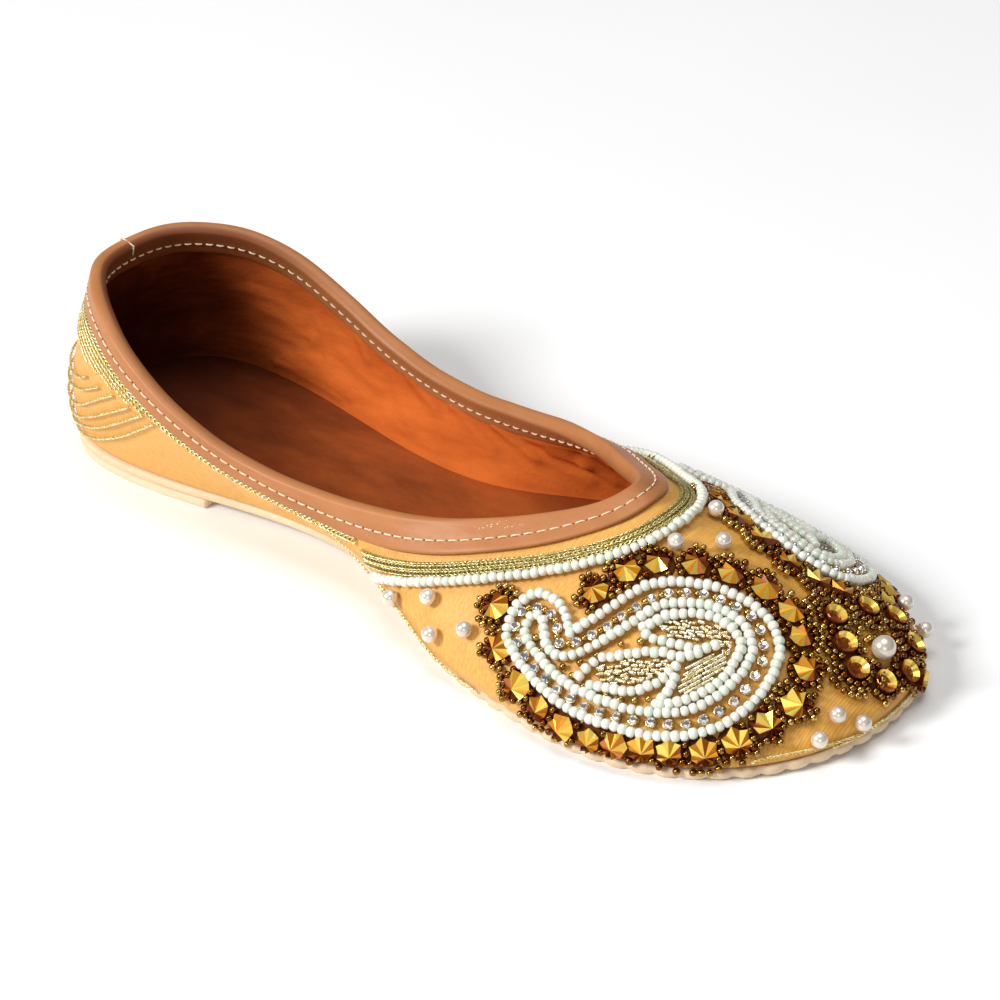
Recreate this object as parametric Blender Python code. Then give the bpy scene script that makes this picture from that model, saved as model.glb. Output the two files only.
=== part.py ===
"""Mojari: a flat South Asian slip-on shoe with a beaded vamp, for the right foot, 242 mm long.

The upper is one hollow wall between the sole edge and the collar. Every section of it is a cubic
curve from the foot line to the collar, and a closed spline carries the sections round the shoe.
The trims are offsets of the same face. X points to the toe, Z up, and the sole stands on Z = 0.
"""
import math

import bpy
import bmesh
import numpy as np
from mathutils import geometry

# Driving sizes of the last and the upper, in metres
LAST_LENGTH = 0.240
BALL_WIDTH = 0.090
BACK_HEIGHT = 0.0435
INSTEP_HEIGHT = 0.0330
TOE_SWING = 0.005
WALL = 0.0018
FIT = 0.0003

# Sole, heel lift and insole
SOLE_THICK = 0.0022
SOLE_EDGE = 0.0012
HEEL_LIFT = 0.0023
TOE_SPRING = 0.0010
INSOLE_THICK = 0.0012
EDGE_CHAMFER = 0.0006

# Binding folded over the collar
BINDING_LEG = 0.0070
BINDING_INNER_LEG = 0.0062
BINDING_THICK = 0.0009

# Zari braids and the seed bead row, measured down the face from the collar
QUARTER_BRAID_WIDTH = 0.0022
QUARTER_BRAID_THICK = 0.0007
THROAT_BRAID_DOWN = 0.0114
THROAT_BRAID_WIDTH = 0.0036
THROAT_BRAID_THICK = 0.0009
SEED_BEAD = 0.0022
SEED_PITCH = 0.0024
BEAD_ROW_DOWN = THROAT_BRAID_DOWN + THROAT_BRAID_WIDTH / 2 + FIT + SEED_BEAD / 2

# Beadwork on the vamp
PAISLEY_THICK = 0.0021
BORDER_REACH = 0.0058
BORDER_THICK = 0.0021
BORDER_TO_SOLE = 0.0016
FLORET_PITCH = 0.0062
FLOWER_RADIUS = 0.0105
FLOWER_THICK = 0.0018
FLOWER_PETALS = 8
TOE_PEARL = 0.0055
SMALL_PEARL = 0.0038

# Places along the shoe, as shares of the last length from its middle
BREAST_AT = -0.26
TREAD_FROM = 0.10
SPRING_FROM = 0.36
SWING_FROM = -0.083

# Places round the face: 0 is the back of the heel, 1 the toe tip, 2 the heel again
SEAM_AT = 0.556
SEAM_GAP = 0.018
BEAD_ROW_FROM = 0.580
PATTERN_AXIS = 1.014

# How finely the solids are cut
ROUND_STATIONS = 72
BEAD_SIDES = 5
PAISLEY_STATIONS = 40
STATIONS_A_FLORET = 3
OUTLINE_FINE = 600
PEARL_SEGMENTS = 8
PEARL_RINGS = 4
WALL_LEVELS = (0.0, 0.06, 0.15, 0.30, 0.50, 0.70, 0.88, 1.0)

# One row per section from the back of the heel to the toe tip. fan is the outward direction in
# degrees. x columns are shares of LAST_LENGTH, y and out columns of BALL_WIDTH, by_back of
# BACK_HEIGHT, by_instep of INSTEP_HEIGHT, up_low and drop_high of the section's own rise,
# edge of SOLE_EDGE and leg of BINDING_LEG.
COLUMNS = ("fan", "foot_x", "outer_y", "inner_y", "out_low", "up_low", "collar_x", "collar_y",
           "by_back", "by_instep", "out_high", "drop_high", "edge", "leg")
SECTIONS = (
    (180, -0.5000, 0.000, 0.000, 0.064, 0.31, -0.4640, 0.000, 1.00, 0.00, 0.040, 0.31, 1.0, 0.92),
    (150, -0.4885, 0.155, 0.153, 0.061, 0.31, -0.4510, 0.140, 1.00, 0.00, 0.040, 0.30, 1.0, 0.92),
    (125, -0.4480, 0.270, 0.265, 0.057, 0.29, -0.4050, 0.256, 0.97, 0.00, 0.038, 0.30, 1.0, 0.88),
    (100, -0.3460, 0.307, 0.300, 0.056, 0.33, -0.3310, 0.345, 0.82, 0.00, 0.036, 0.32, 0.9, 0.78),
    (90, -0.1920, 0.247, 0.244, 0.057, 0.42, -0.2100, 0.355, 0.53, 0.00, 0.025, 0.40, 0.3, 0.62),
    (90, -0.0330, 0.254, 0.250, 0.068, 0.42, -0.0730, 0.322, 0.27, 0.24, 0.025, 0.39, 0.0, 0.82),
    (85, 0.0910, 0.423, 0.400, 0.076, 0.33, 0.0450, 0.294, 0.12, 0.55, 0.047, 0.33, 0.6, 1.02),
    (75, 0.2190, 0.503, 0.472, 0.064, 0.26, 0.1180, 0.225, 0.04, 0.76, 0.117, 0.27, 1.0, 1.05),
    (55, 0.3590, 0.489, 0.455, 0.052, 0.17, 0.1660, 0.151, 0.00, 0.89, 0.150, 0.22, 1.0, 0.95),
    (38, 0.4510, 0.333, 0.310, 0.054, 0.18, 0.1940, 0.098, 0.00, 0.95, 0.214, 0.17, 1.0, 0.88),
    (16, 0.4920, 0.133, 0.128, 0.056, 0.22, 0.2102, 0.045, 0.00, 1.00, 0.263, 0.15, 1.0, 0.84),
    (0, 0.4980, 0.000, 0.000, 0.058, 0.24, 0.2145, 0.000, 0.00, 1.02, 0.288, 0.14, 1.0, 0.82),
)

# The paisley is drawn flat on a chart laid against the vamp at this place of the face.
# Its outline is in shares of PAISLEY_LENGTH: along towards the toe, across towards the instep.
CHART_AT = (0.89, 0.51)
PAISLEY_LENGTH = 0.060
PAISLEY_OUTLINE = (
    (-0.375, -0.005), (-0.480, 0.018), (-0.555, -0.020), (-0.575, -0.105), (-0.520, -0.185),
    (-0.425, -0.245), (-0.300, -0.285), (-0.140, -0.315), (0.040, -0.300), (0.235, -0.222),
    (0.385, -0.085), (0.420, 0.100), (0.345, 0.285), (0.210, 0.370), (0.035, 0.362),
    (-0.130, 0.262), (-0.215, 0.112), (-0.280, -0.028), (-0.325, -0.060),
)
# Relief of the pad, one row per ring: distance in from the outline, and share of PAISLEY_THICK
PAISLEY_RIM = 0.45
PAISLEY_RELIEF = ((0.0011, 1.00), (0.0024, 0.60), (0.0050, 0.85), (0.0085, 0.65))
PAISLEY_SPACING = 0.004
# Shares of the outline where the floret border starts and ends, going by the toe
BORDER_SPAN = (0.115, 0.925)
FLOWER_AT = (1.016, 0.290)
# Band of florets and rosette, one row per line across: share of the width, share of the thickness
BORDER_PROFILE = ((0.00, 0.50), (0.25, 0.85), (0.55, 1.00), (0.83, 0.75), (1.00, 0.40))
FLOWER_PROFILE = ((0.00, 0.55), (0.46, 1.00), (1.00, 0.45))
SCALLOP = 0.30
PETAL_NOTCH = 0.22
# Small pearls under the bead row: places round the face
ROW_PEARLS = (0.611, 0.670, 0.972, 1.040, 1.353, 1.400)
# Small pearls on the vamp: place round the face, and level from the sole edge (0) to the collar (1)
VAMP_PEARLS = (
    (0.672, 0.330), (0.715, 0.450), (1.002, 0.735), (0.961, 0.195), (0.971, 0.115),
    (0.943, 0.125), (1.082, 0.110), (1.096, 0.205), (1.350, 0.217), (1.310, 0.368),
)


def smooth(x):
    """Smooth step from 0 to 1."""
    x = np.clip(x, 0.0, 1.0)
    return x * x * (3.0 - 2.0 * x)


def sole_bottom(x):
    """Height of the outsole's underside: level on the lift, down the waist, flat tread, toe spring."""
    along = np.asarray(x) / LAST_LENGTH
    waist = 1.0 - smooth((along - BREAST_AT) / (TREAD_FROM - BREAST_AT))
    toe = np.clip((along - SPRING_FROM) / (0.5 - SPRING_FROM), 0.0, 1.1) ** 2
    return (HEEL_LIFT + FIT) * waist + TOE_SPRING * toe


def sole_top(x):
    return sole_bottom(x) + SOLE_THICK


def swing(points):
    """Bend towards the big toe: y grows with the square of the distance in front of the waist."""
    bent = np.array(points, float)
    ahead = np.clip(points[..., 0] / LAST_LENGTH - SWING_FROM, 0.0, None) / (0.5 - SWING_FROM)
    bent[..., 1] += TOE_SWING * ahead ** 2
    return bent


def spline_bends(knots, values):
    """Second derivatives of the closed cubic spline through values at knots."""
    count = len(knots) - 1
    step = np.diff(knots)
    slope = (np.roll(values, -1, 0) - values) / step[:, None]
    matrix = np.zeros((count, count))
    right = np.zeros_like(values)
    for i in range(count):
        matrix[i, i - 1] += step[i - 1]
        matrix[i, i] += 2.0 * (step[i - 1] + step[i])
        matrix[i, (i + 1) % count] += step[i]
        right[i] = 6.0 * (slope[i] - slope[i - 1])
    return np.linalg.solve(matrix, right)


def spline_at(knots, values, bends, t):
    """Points of the closed spline at t."""
    count = len(values)
    t = np.mod(np.asarray(t, float), knots[-1])
    i = np.clip(np.searchsorted(knots, t, side="right") - 1, 0, count - 1)
    j = (i + 1) % count
    step = (knots[i + 1] - knots[i])[..., None]
    a = (knots[i + 1] - t)[..., None] / step
    b = 1.0 - a
    bend = ((a ** 3 - a) * bends[i] + (b ** 3 - b) * bends[j]) * step ** 2 / 6.0
    return a * values[i] + b * values[j] + bend


def section_values():
    """Per section: four control points of its curve, the sole edge's width and the binding's leg."""
    half = [dict(zip(COLUMNS, row)) for row in SECTIONS]
    around = [(row, -1.0) for row in half] + [(row, 1.0) for row in half[-2:0:-1]]
    values = []
    for row, side in around:
        fan = math.radians(row["fan"])
        outward = np.array([math.cos(fan), side * math.sin(fan), 0.0]) * BALL_WIDTH
        upward = np.array([0.0, 0.0, 1.0])
        half_width = row["outer_y"] if side < 0 else row["inner_y"]
        foot_x = row["foot_x"] * LAST_LENGTH
        foot = np.array([foot_x, side * half_width * BALL_WIDTH, sole_top(foot_x) + FIT])
        seat = SOLE_THICK + FIT + (HEEL_LIFT + FIT) * row["by_back"]
        height = seat + row["by_back"] * BACK_HEIGHT + row["by_instep"] * INSTEP_HEIGHT
        collar = np.array([row["collar_x"] * LAST_LENGTH, side * row["collar_y"] * BALL_WIDTH, height])
        rise = height - foot[2]
        low = foot + outward * row["out_low"] + upward * row["up_low"] * rise
        high = collar + outward * row["out_high"] - upward * row["drop_high"] * rise
        extra = [row["edge"] * SOLE_EDGE, row["leg"] * BINDING_LEG]
        values.append(np.concatenate([foot, low, high, collar, extra]))
    return np.array(values)


def section_spline():
    """Closed spline of the sections; its knots run 0 to 1 by the outer side and mirror back to 2."""
    values = section_values()
    half = len(SECTIONS)
    feet = np.linalg.norm(np.diff(values[:half, 0:3], axis=0), axis=1)
    collars = np.linalg.norm(np.diff(values[:half, 9:12], axis=0), axis=1)
    outer = np.concatenate([[0.0], np.cumsum(feet + collars)]) / (feet + collars).sum()
    knots = np.concatenate([outer, 2.0 - outer[-2::-1]])
    return knots, values, spline_bends(knots, values)


SECTION_SPLINE = section_spline()


def face(t, w):
    """Outer face of the upper: t round the shoe, w from the sole edge (0) to the collar (1)."""
    t, w = np.broadcast_arrays(np.asarray(t, float), np.asarray(w, float))
    v = spline_at(*SECTION_SPLINE, t)
    w = w[..., None]
    return swing((1 - w) ** 3 * v[..., 0:3] + 3 * w * (1 - w) ** 2 * v[..., 3:6]
                 + 3 * w ** 2 * (1 - w) * v[..., 6:9] + w ** 3 * v[..., 9:12])


def slopes(t, w):
    """Change of the face along t and along w."""
    step = 1e-4
    t = np.asarray(t, float)
    below = np.clip(w - step, 0.0, 1.0)
    above = np.clip(w + step, 0.0, 1.0)
    along = (face(t + step, w) - face(t - step, w)) / (2 * step)
    upward = (face(t, above) - face(t, below)) / np.asarray(above - below)[..., None]
    return along, upward


def unit(vectors):
    return vectors / np.linalg.norm(vectors, axis=-1, keepdims=True)


def raised(t, w, out):
    """Point of the face moved out along its normal."""
    t, w = np.broadcast_arrays(np.asarray(t, float), np.asarray(w, float))
    along, upward = slopes(t, w)
    return face(t, w) + unit(np.cross(along, upward)) * np.asarray(out, float)[..., None]


def level_at(t, down):
    """Level of the face at a distance down from the collar."""
    t, down = np.broadcast_arrays(np.asarray(t, float), np.asarray(down, float))
    levels = np.linspace(1.0, 0.0, 61)
    line = face(t[..., None], levels)
    run = np.linalg.norm(np.diff(line, axis=-2), axis=-1)
    run = np.concatenate([np.zeros(run.shape[:-1] + (1,)), np.cumsum(run, axis=-1)], axis=-1)
    target = np.clip(down, 0.0, run[..., -1])
    i = np.clip((run <= target[..., None]).sum(-1) - 1, 0, len(levels) - 2)
    start = np.take_along_axis(run, i[..., None], -1)[..., 0]
    end = np.take_along_axis(run, i[..., None] + 1, -1)[..., 0]
    return levels[i] + (levels[i + 1] - levels[i]) * (target - start) / (end - start)


def below_collar(t, down, out):
    """Point at a distance down the face from the collar; a negative distance goes on past it."""
    t, down, out = np.broadcast_arrays(np.asarray(t, float), np.asarray(down, float),
                                       np.asarray(out, float))
    w = level_at(t, down)
    past = np.clip(-down, 0.0, None)[..., None]
    return raised(t, w, out) + unit(slopes(t, w)[1]) * past


def walk(t, w, direction, distance):
    """Step along the face from (t, w) by a distance in a direction given in space."""
    along, upward = slopes(t, w)
    aa = (along * along).sum(-1)
    uu = (upward * upward).sum(-1)
    au = (along * upward).sum(-1)
    da = (along * direction).sum(-1)
    du = (upward * direction).sum(-1)
    det = aa * uu - au ** 2
    dt = (uu * da - au * du) / det
    dw = (aa * du - au * da) / det
    return t + dt * distance, w + dw * distance


def chart_frame(place):
    """Origin and two axes of a flat chart that touches the face: to the toe, and across."""
    t, w = place
    along, upward = slopes(t, w)
    out = unit(np.cross(along, upward))
    ahead = unit(np.array([1.0, 0.0, 0.0]) - out * out[0])
    return face(t, w), ahead, np.cross(out, ahead)


def from_chart(place, a, b):
    """Place on the face under each chart point, by Newton's steps."""
    origin, ahead, across = chart_frame(place)
    t = np.full(np.shape(a), place[0], float)
    w = np.full(np.shape(a), place[1], float)
    for _ in range(25):
        offset = face(t, w) - origin
        along, upward = slopes(t, w)
        miss_a = a - offset @ ahead
        miss_b = b - offset @ across
        ta, tb = along @ ahead, along @ across
        wa, wb = upward @ ahead, upward @ across
        det = ta * wb - tb * wa
        t = t + np.clip((miss_a * wb - miss_b * wa) / det, -0.04, 0.04)
        w = np.clip(w + np.clip((miss_b * ta - miss_a * tb) / det, -0.1, 0.1), 0.02, 0.98)
    return t, w


# Pieces are gathered here as name, points, faces and finish, then placed together
PIECES = []


def add(name, points, faces, finish):
    PIECES.append((name, np.asarray(points, float).reshape(-1, 3), faces, finish))


def grid_faces(rows, columns, close_rows, close_columns):
    """Quads between neighbouring rows and columns of a point grid."""
    faces = []
    for i in range(rows if close_rows else rows - 1):
        for j in range(columns if close_columns else columns - 1):
            i2, j2 = (i + 1) % rows, (j + 1) % columns
            faces.append((i * columns + j, i2 * columns + j, i2 * columns + j2, i * columns + j2))
    return faces


def swept(name, points, closed, finish):
    """Solid from a closed profile (second axis) carried along a path (first axis)."""
    rows, columns = points.shape[:2]
    faces = grid_faces(rows, columns, closed, True)
    if not closed:
        faces.append(tuple(range(columns))[::-1])
        faces.append(tuple((rows - 1) * columns + j for j in range(columns)))
    add(name, points, faces, finish)


def stations():
    return np.linspace(0.0, 2.0, ROUND_STATIONS, endpoint=False)


def stations_between(start, end):
    """The wall's own stations inside a span, with its two ends, so that strips match its facets."""
    step = 2.0 / ROUND_STATIONS
    inner = np.arange(math.ceil(start / step), math.floor(end / step) + 1) * step
    inner = inner[(inner > start + step / 4) & (inner < end - step / 4)]
    return np.concatenate([[start], inner, [end]])


def make_upper():
    """The wall: up its outer face, over the collar edge and down its inner face."""
    levels = np.array(WALL_LEVELS)
    t = stations()[:, None]
    outer = raised(t, levels, np.zeros((1, len(levels))))
    inner = raised(t, levels[::-1], np.full((1, len(levels)), -WALL))
    swept("upper", np.concatenate([outer, inner], axis=1), True, "silk")


def make_binding():
    """Leather strip folded over the collar, one fit clear of the wall on both sides."""
    t = stations()
    leg = spline_at(*SECTION_SPLINE, t)[:, 13]
    near, far = FIT, FIT + BINDING_THICK
    depth = -WALL
    full = np.ones_like(leg)
    shape = [
        (leg, near), (leg * 0.5, near), (-near * full, near),
        (-near * full, depth - near), (BINDING_INNER_LEG * 0.5 * full, depth - near),
        (BINDING_INNER_LEG * full, depth - near),
        (BINDING_INNER_LEG * full, depth - far), (0.0 * full, depth - far),
        (-far * full, depth * 0.5), (0.0 * full, far), (leg * 0.5, far), (leg, far * 0.9),
    ]
    profile = [below_collar(t, down, np.full_like(leg, out)) for down, out in shape]
    swept("collar_binding", np.stack(profile, axis=1), True, "binding")


def sole_line(inset=None):
    """Plan line of the sole's own edge, or of the foot line moved in by a distance."""
    t = stations()
    foot = face(t, 0.0)
    ahead = face(t + 1e-3, 0.0) - face(t - 1e-3, 0.0)
    outward = unit(np.stack([ahead[:, 1], -ahead[:, 0]], axis=-1))
    edge = spline_at(*SECTION_SPLINE, t)[:, 12]
    out = edge if inset is None else np.full_like(edge, -inset)
    return foot[:, :2] + outward * out[:, None]


def slab(name, line, layers, finish):
    """Solid between closed plan lines: layers are pairs of a plan line and its heights."""
    count = len(line)
    rings = [np.column_stack([plan, np.broadcast_to(height, count)]) for plan, height in layers]
    faces = []
    for k in range(len(rings) - 1):
        for i in range(count):
            j = (i + 1) % count
            faces.append((k * count + i, k * count + j, (k + 1) * count + j, (k + 1) * count + i))
    half = count // 2
    top = (len(rings) - 1) * count
    for i in range(half):
        a, b, c, d = i, i + 1, (count - i - 1) % count, (count - i) % count
        corners = [a, b, c, d]
        corners = [k for n, k in enumerate(corners) if k not in corners[:n]]
        faces.append(tuple(corners[::-1]))
        faces.append(tuple(top + k for k in corners))
    add(name, np.concatenate(rings), faces, finish)


def make_outsole():
    line = sole_line()
    low, high = sole_bottom(line[:, 0]), sole_top(line[:, 0])
    tucked = line - unit(line - line.mean(axis=0)) * EDGE_CHAMFER
    slab("outsole", line, [(tucked, low), (line, low + EDGE_CHAMFER), (line, high)], "sole_leather")


def make_insole():
    line = sole_line(WALL + 2 * FIT)
    low = sole_top(line[:, 0]) + FIT
    slab("insole", line, [(line, low), (line, low + INSOLE_THICK)], "insole_leather")


def make_heel_lift():
    """Stacked lift under the heel seat, with a straight breast across the shoe."""
    line = sole_line()
    breast = BREAST_AT * LAST_LENGTH
    count = len(line)
    outer = [line[i] for i in range(0, count // 2) if line[i, 0] < breast - FIT]
    inner = [line[i] for i in range(count // 2, count) if line[i, 0] < breast - FIT]
    ends = []
    for side, points in ((1, outer), (-1, inner)):
        i = len(points) if side > 0 else count - len(points)
        p, q = (line[i - 1], line[i]) if side > 0 else (line[i], line[i - 1])
        share = (breast - p[0]) / (q[0] - p[0])
        ends.append(p + (q - p) * share)
    plan = np.array([ends[1]] + inner + outer + [ends[0]])
    tucked = plan - unit(plan - plan.mean(axis=0)) * EDGE_CHAMFER
    number = len(plan)
    rings = [(tucked, 0.0), (plan, EDGE_CHAMFER), (plan, HEEL_LIFT)]
    points = np.concatenate([np.column_stack([p, np.full(number, z)]) for p, z in rings])
    faces = [tuple(range(number))[::-1], tuple(2 * number + i for i in range(number))]
    for k in range(2):
        for i in range(number):
            j = (i + 1) % number
            faces.append((k * number + i, k * number + j, (k + 1) * number + j, (k + 1) * number + i))
    add("heel_lift", points, faces, "lift_leather")


def strip(name, t, down, width, thick, ridges, finish):
    """Braid of rounded ridges side by side, laid on the face at a distance down from the collar."""
    across = np.linspace(-0.5, 0.5, 2 * ridges + 1)
    high = np.where(np.arange(2 * ridges + 1) % 2 == 1, thick, thick * 0.55)
    shape = [(a, FIT + h) for a, h in zip(across, high)] + [(0.5, FIT), (-0.5, FIT)]
    profile = [below_collar(t, down + a * width, np.full_like(t, out)) for a, out in shape]
    swept(name, np.stack(profile, axis=1), False, finish)


def make_quarter_braid():
    """One gold line just under the binding, from seam to seam round the heel."""
    t = stations_between(2.0 - SEAM_AT + SEAM_GAP, 2.0 + SEAM_AT - SEAM_GAP)
    leg = spline_at(*SECTION_SPLINE, t)[:, 13]
    down = leg + FIT + QUARTER_BRAID_WIDTH * 0.5
    strip("quarter_braid", t, down, QUARTER_BRAID_WIDTH, QUARTER_BRAID_THICK, 1, "zari")


def make_throat_braid():
    """Three gold rows round the throat, from seam to seam over the instep."""
    t = stations_between(SEAM_AT, 2.0 - SEAM_AT)
    down = np.full_like(t, THROAT_BRAID_DOWN)
    strip("throat_braid", t, down, THROAT_BRAID_WIDTH, THROAT_BRAID_THICK, 3, "zari")


def make_throat_beads():
    """Row of seed beads on a thread under the braid: a cord that swells once for each bead."""
    fine = np.linspace(BEAD_ROW_FROM, 2.0 - BEAD_ROW_FROM, 400)
    radius = SEED_BEAD / 2
    centre = below_collar(fine, np.full_like(fine, BEAD_ROW_DOWN), np.full_like(fine, FIT + radius))
    run = np.concatenate([[0.0], np.cumsum(np.linalg.norm(np.diff(centre, axis=0), axis=1))])
    beads = int(run[-1] / SEED_PITCH)
    places = np.linspace(0.0, run[-1], 2 * beads + 1)
    t = np.interp(places, run, fine)
    size = np.where(np.arange(len(t)) % 2 == 1, 1.0, 0.55) * radius
    rings = []
    for turn in np.linspace(0.0, 2 * math.pi, BEAD_SIDES, endpoint=False):
        rings.append(below_collar(t, BEAD_ROW_DOWN + size * math.cos(turn),
                                  FIT + radius + size * math.sin(turn)))
    swept("throat_beads", np.stack(rings, axis=1), False, "white_bead")


def paisley_plan(count):
    """Paisley outline in chart metres, evenly spaced, anticlockwise seen from outside."""
    points = np.array(PAISLEY_OUTLINE) * PAISLEY_LENGTH
    length = np.linalg.norm(np.roll(points, -1, 0) - points, axis=1)
    knots = np.concatenate([[0.0], np.cumsum(np.sqrt(length))])
    bends = spline_bends(knots, points)
    fine = spline_at(knots, points, bends, np.linspace(0.0, knots[-1], 600, endpoint=False))
    run = np.linalg.norm(np.roll(fine, -1, 0) - fine, axis=1)
    run = np.concatenate([[0.0], np.cumsum(run)])
    even = np.linspace(0.0, run[-1], count, endpoint=False)
    wrapped = np.concatenate([fine, fine[:1]])
    return np.stack([np.interp(even, run, wrapped[:, k]) for k in range(2)], axis=-1)


def inward(plan):
    """Normals of a closed plan outline that point into it."""
    ahead = np.roll(plan, -1, 0) - np.roll(plan, 1, 0)
    return unit(np.stack([-ahead[:, 1], ahead[:, 0]], axis=-1))


def mirrored(t, side):
    """The same place on the outer side (-1) or the inner side (1) of the pattern's axis."""
    return t if side < 0 else 2.0 * PATTERN_AXIS - t


def make_paisley(name, side):
    """Low pad with the relief of its bead rows: ring, groove, second ring and filled middle."""
    outline = paisley_plan(PAISLEY_STATIONS)
    plans = [outline]
    heights = [np.full(len(outline), PAISLEY_RIM)]
    for inset, share in PAISLEY_RELIEF:
        ring = outline + inward(outline) * inset
        gap = np.linalg.norm(ring[:, None] - outline[None], axis=-1).min(axis=1)
        ring = ring[gap > inset * 0.93]
        spacing = max(1, round(inset / PAISLEY_SPACING))
        plans.append(ring[::spacing])
        heights.append(np.full(len(plans[-1]), share))
    plan = np.concatenate(plans)
    height = np.concatenate(heights)
    border = list(range(len(outline)))
    found = geometry.delaunay_2d_cdt([tuple(p) for p in plan], [], [border], 1, 1e-7)
    flat, triangles, origins = found[0], found[2], found[3]
    order = [source[0] for source in origins]
    flat = np.array([tuple(p) for p in flat])
    t, w = from_chart(CHART_AT, flat[:, 0], flat[:, 1])
    t = mirrored(t, side)
    count = len(flat)
    top = raised(t, w, FIT + height[order] * PAISLEY_THICK)
    bottom = raised(t, w, np.full(count, FIT))
    position = {source: k for k, source in enumerate(order)}
    rim = [position[i] for i in border]
    faces = [tuple(f) for f in triangles] + [tuple(count + k for k in f[::-1]) for f in triangles]
    for k, i in enumerate(rim):
        j = rim[(k + 1) % len(rim)]
        faces.append((i, count + i, count + j, j))
    add(name, np.concatenate([top, bottom]), faces, "white_bead")


def pearl_places():
    """Place round and level of each small pearl: those touching the bead row, then the vamp's."""
    down = BEAD_ROW_DOWN + SEED_BEAD / 2 + 2 * FIT + SMALL_PEARL / 2
    return [(t, float(level_at(t, down))) for t in ROW_PEARLS] + list(VAMP_PEARLS)


def border_grid(stations_along, shares, side):
    """Grid on the face out from the paisley, short of the axis, sole, toe flower and pearls."""
    plan = paisley_plan(OUTLINE_FINE)
    t, w = from_chart(CHART_AT, plan[:, 0], plan[:, 1])
    start, end = BORDER_SPAN
    pick = (np.linspace(start, end, stations_along) * OUTLINE_FINE).astype(int) % OUTLINE_FINE
    axis_line = face(np.full(200, PATTERN_AXIS), np.linspace(0.0, 1.0, 200))
    sole_edge = face(np.linspace(0.5, PATTERN_AXIS, 300), np.zeros(300))
    here = face(t, w)
    to_axis = np.linalg.norm(here[:, None] - axis_line[None], axis=-1).min(axis=1) - 2 * FIT
    to_sole = np.linalg.norm(here[:, None] - sole_edge[None], axis=-1).min(axis=1) - BORDER_TO_SOLE
    flower = face(np.array(FLOWER_AT[0]), np.array(FLOWER_AT[1]))
    to_flower = np.linalg.norm(here - flower, axis=-1) - FLOWER_RADIUS - 2 * FIT
    pearls = np.array([(mirrored(t, side), w) for t, w in pearl_places()])
    pearls = face(pearls[:, 0], pearls[:, 1])
    to_pearl = np.linalg.norm(here[:, None] - pearls[None], axis=-1).min(axis=1) - SMALL_PEARL / 2 - 2 * FIT
    reach = np.clip(np.min([to_axis, to_sole, to_flower, to_pearl], axis=0), 0.0, BORDER_REACH)
    steps = 8
    levels = np.linspace(0.0, 1.0, steps + 1)
    path = [(t, w)]
    for _ in range(steps):
        here = face(t, w)
        ahead = np.roll(here, -1, 0) - np.roll(here, 1, 0)
        along, upward = slopes(t, w)
        outward = unit(np.cross(ahead, np.cross(along, upward)))
        t, w = walk(t, w, outward, reach / steps)
        w = np.clip(w, 0.02, 0.98)
        path.append((t, w))
    along_t = np.stack([p[0] for p in path], axis=1)[pick]
    along_w = np.stack([p[1] for p in path], axis=1)[pick]
    grid_t = np.stack([np.interp(shares, levels, row) for row in along_t])
    grid_w = np.stack([np.interp(shares, levels, row) for row in along_w])
    return grid_t, grid_w


def make_border(name, side):
    """Scalloped band of foil florets round the paisley, one swell for each floret."""
    plan = paisley_plan(PAISLEY_STATIONS)
    length = np.linalg.norm(np.roll(plan, -1, 0) - plan, axis=1).sum()
    florets = round(length * (BORDER_SPAN[1] - BORDER_SPAN[0]) / FLORET_PITCH)
    stations_along = STATIONS_A_FLORET * florets + 1
    gap = 2 * FIT / BORDER_REACH
    profile = np.array(BORDER_PROFILE)
    grid_t, grid_w = border_grid(stations_along, gap + (1.0 - gap) * profile[:, 0], side)
    swell = 0.5 - 0.5 * np.cos(2 * math.pi * np.arange(stations_along) / STATIONS_A_FLORET)
    high = FIT + BORDER_THICK * profile[:, 1] * (1.0 - SCALLOP + SCALLOP * swell[:, None])
    t = mirrored(grid_t, side)
    top = raised(t, grid_w, high)
    bottom = raised(t[:, ::-2], grid_w[:, ::-2], np.full(t[:, ::-2].shape, FIT))
    swept(name, np.concatenate([top, bottom], axis=1), False, "foil")


def make_toe_flower():
    """Rosette of petals round the toe pearl, drawn by polar steps from its middle."""
    share, crown = np.array(FLOWER_PROFILE).T[:, :, None]
    around = 3 * FLOWER_PETALS
    turn = np.arange(around) * 2 * math.pi / around
    notch = 0.5 - 0.5 * np.cos(FLOWER_PETALS * turn)
    hole = TOE_PEARL / 2 + FIT
    radius = hole + (FLOWER_RADIUS * (1.0 - PETAL_NOTCH * notch) - hole) * share
    t, w = from_chart(FLOWER_AT, radius * np.cos(turn), radius * np.sin(turn))
    top = raised(t, w, FIT + FLOWER_THICK * crown * (1.0 - SCALLOP * notch))
    bottom = raised(t[::-1], w[::-1], np.full(t.shape, FIT))
    points = np.concatenate([top.swapaxes(0, 1), bottom.swapaxes(0, 1)], axis=1)
    swept("toe_flower", points, True, "foil")


def ball(name, t, w, diameter):
    """Pearl that sits one fit above the face."""
    radius = diameter / 2
    centre = raised(np.array(t), np.array(w), np.array(FIT + radius))
    mesh = bmesh.new()
    bmesh.ops.create_uvsphere(mesh, u_segments=PEARL_SEGMENTS, v_segments=PEARL_RINGS, radius=radius)
    points = np.array([v.co[:] for v in mesh.verts]) + centre
    faces = [tuple(v.index for v in f.verts) for f in mesh.faces]
    mesh.free()
    add(name, points, faces, "pearl")


def make_pearls():
    ball("toe_pearl", FLOWER_AT[0], FLOWER_AT[1], TOE_PEARL)
    for number, (t, w) in enumerate(pearl_places(), 1):
        ball("small_pearl_%02d" % number, t, w, SMALL_PEARL)


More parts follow.
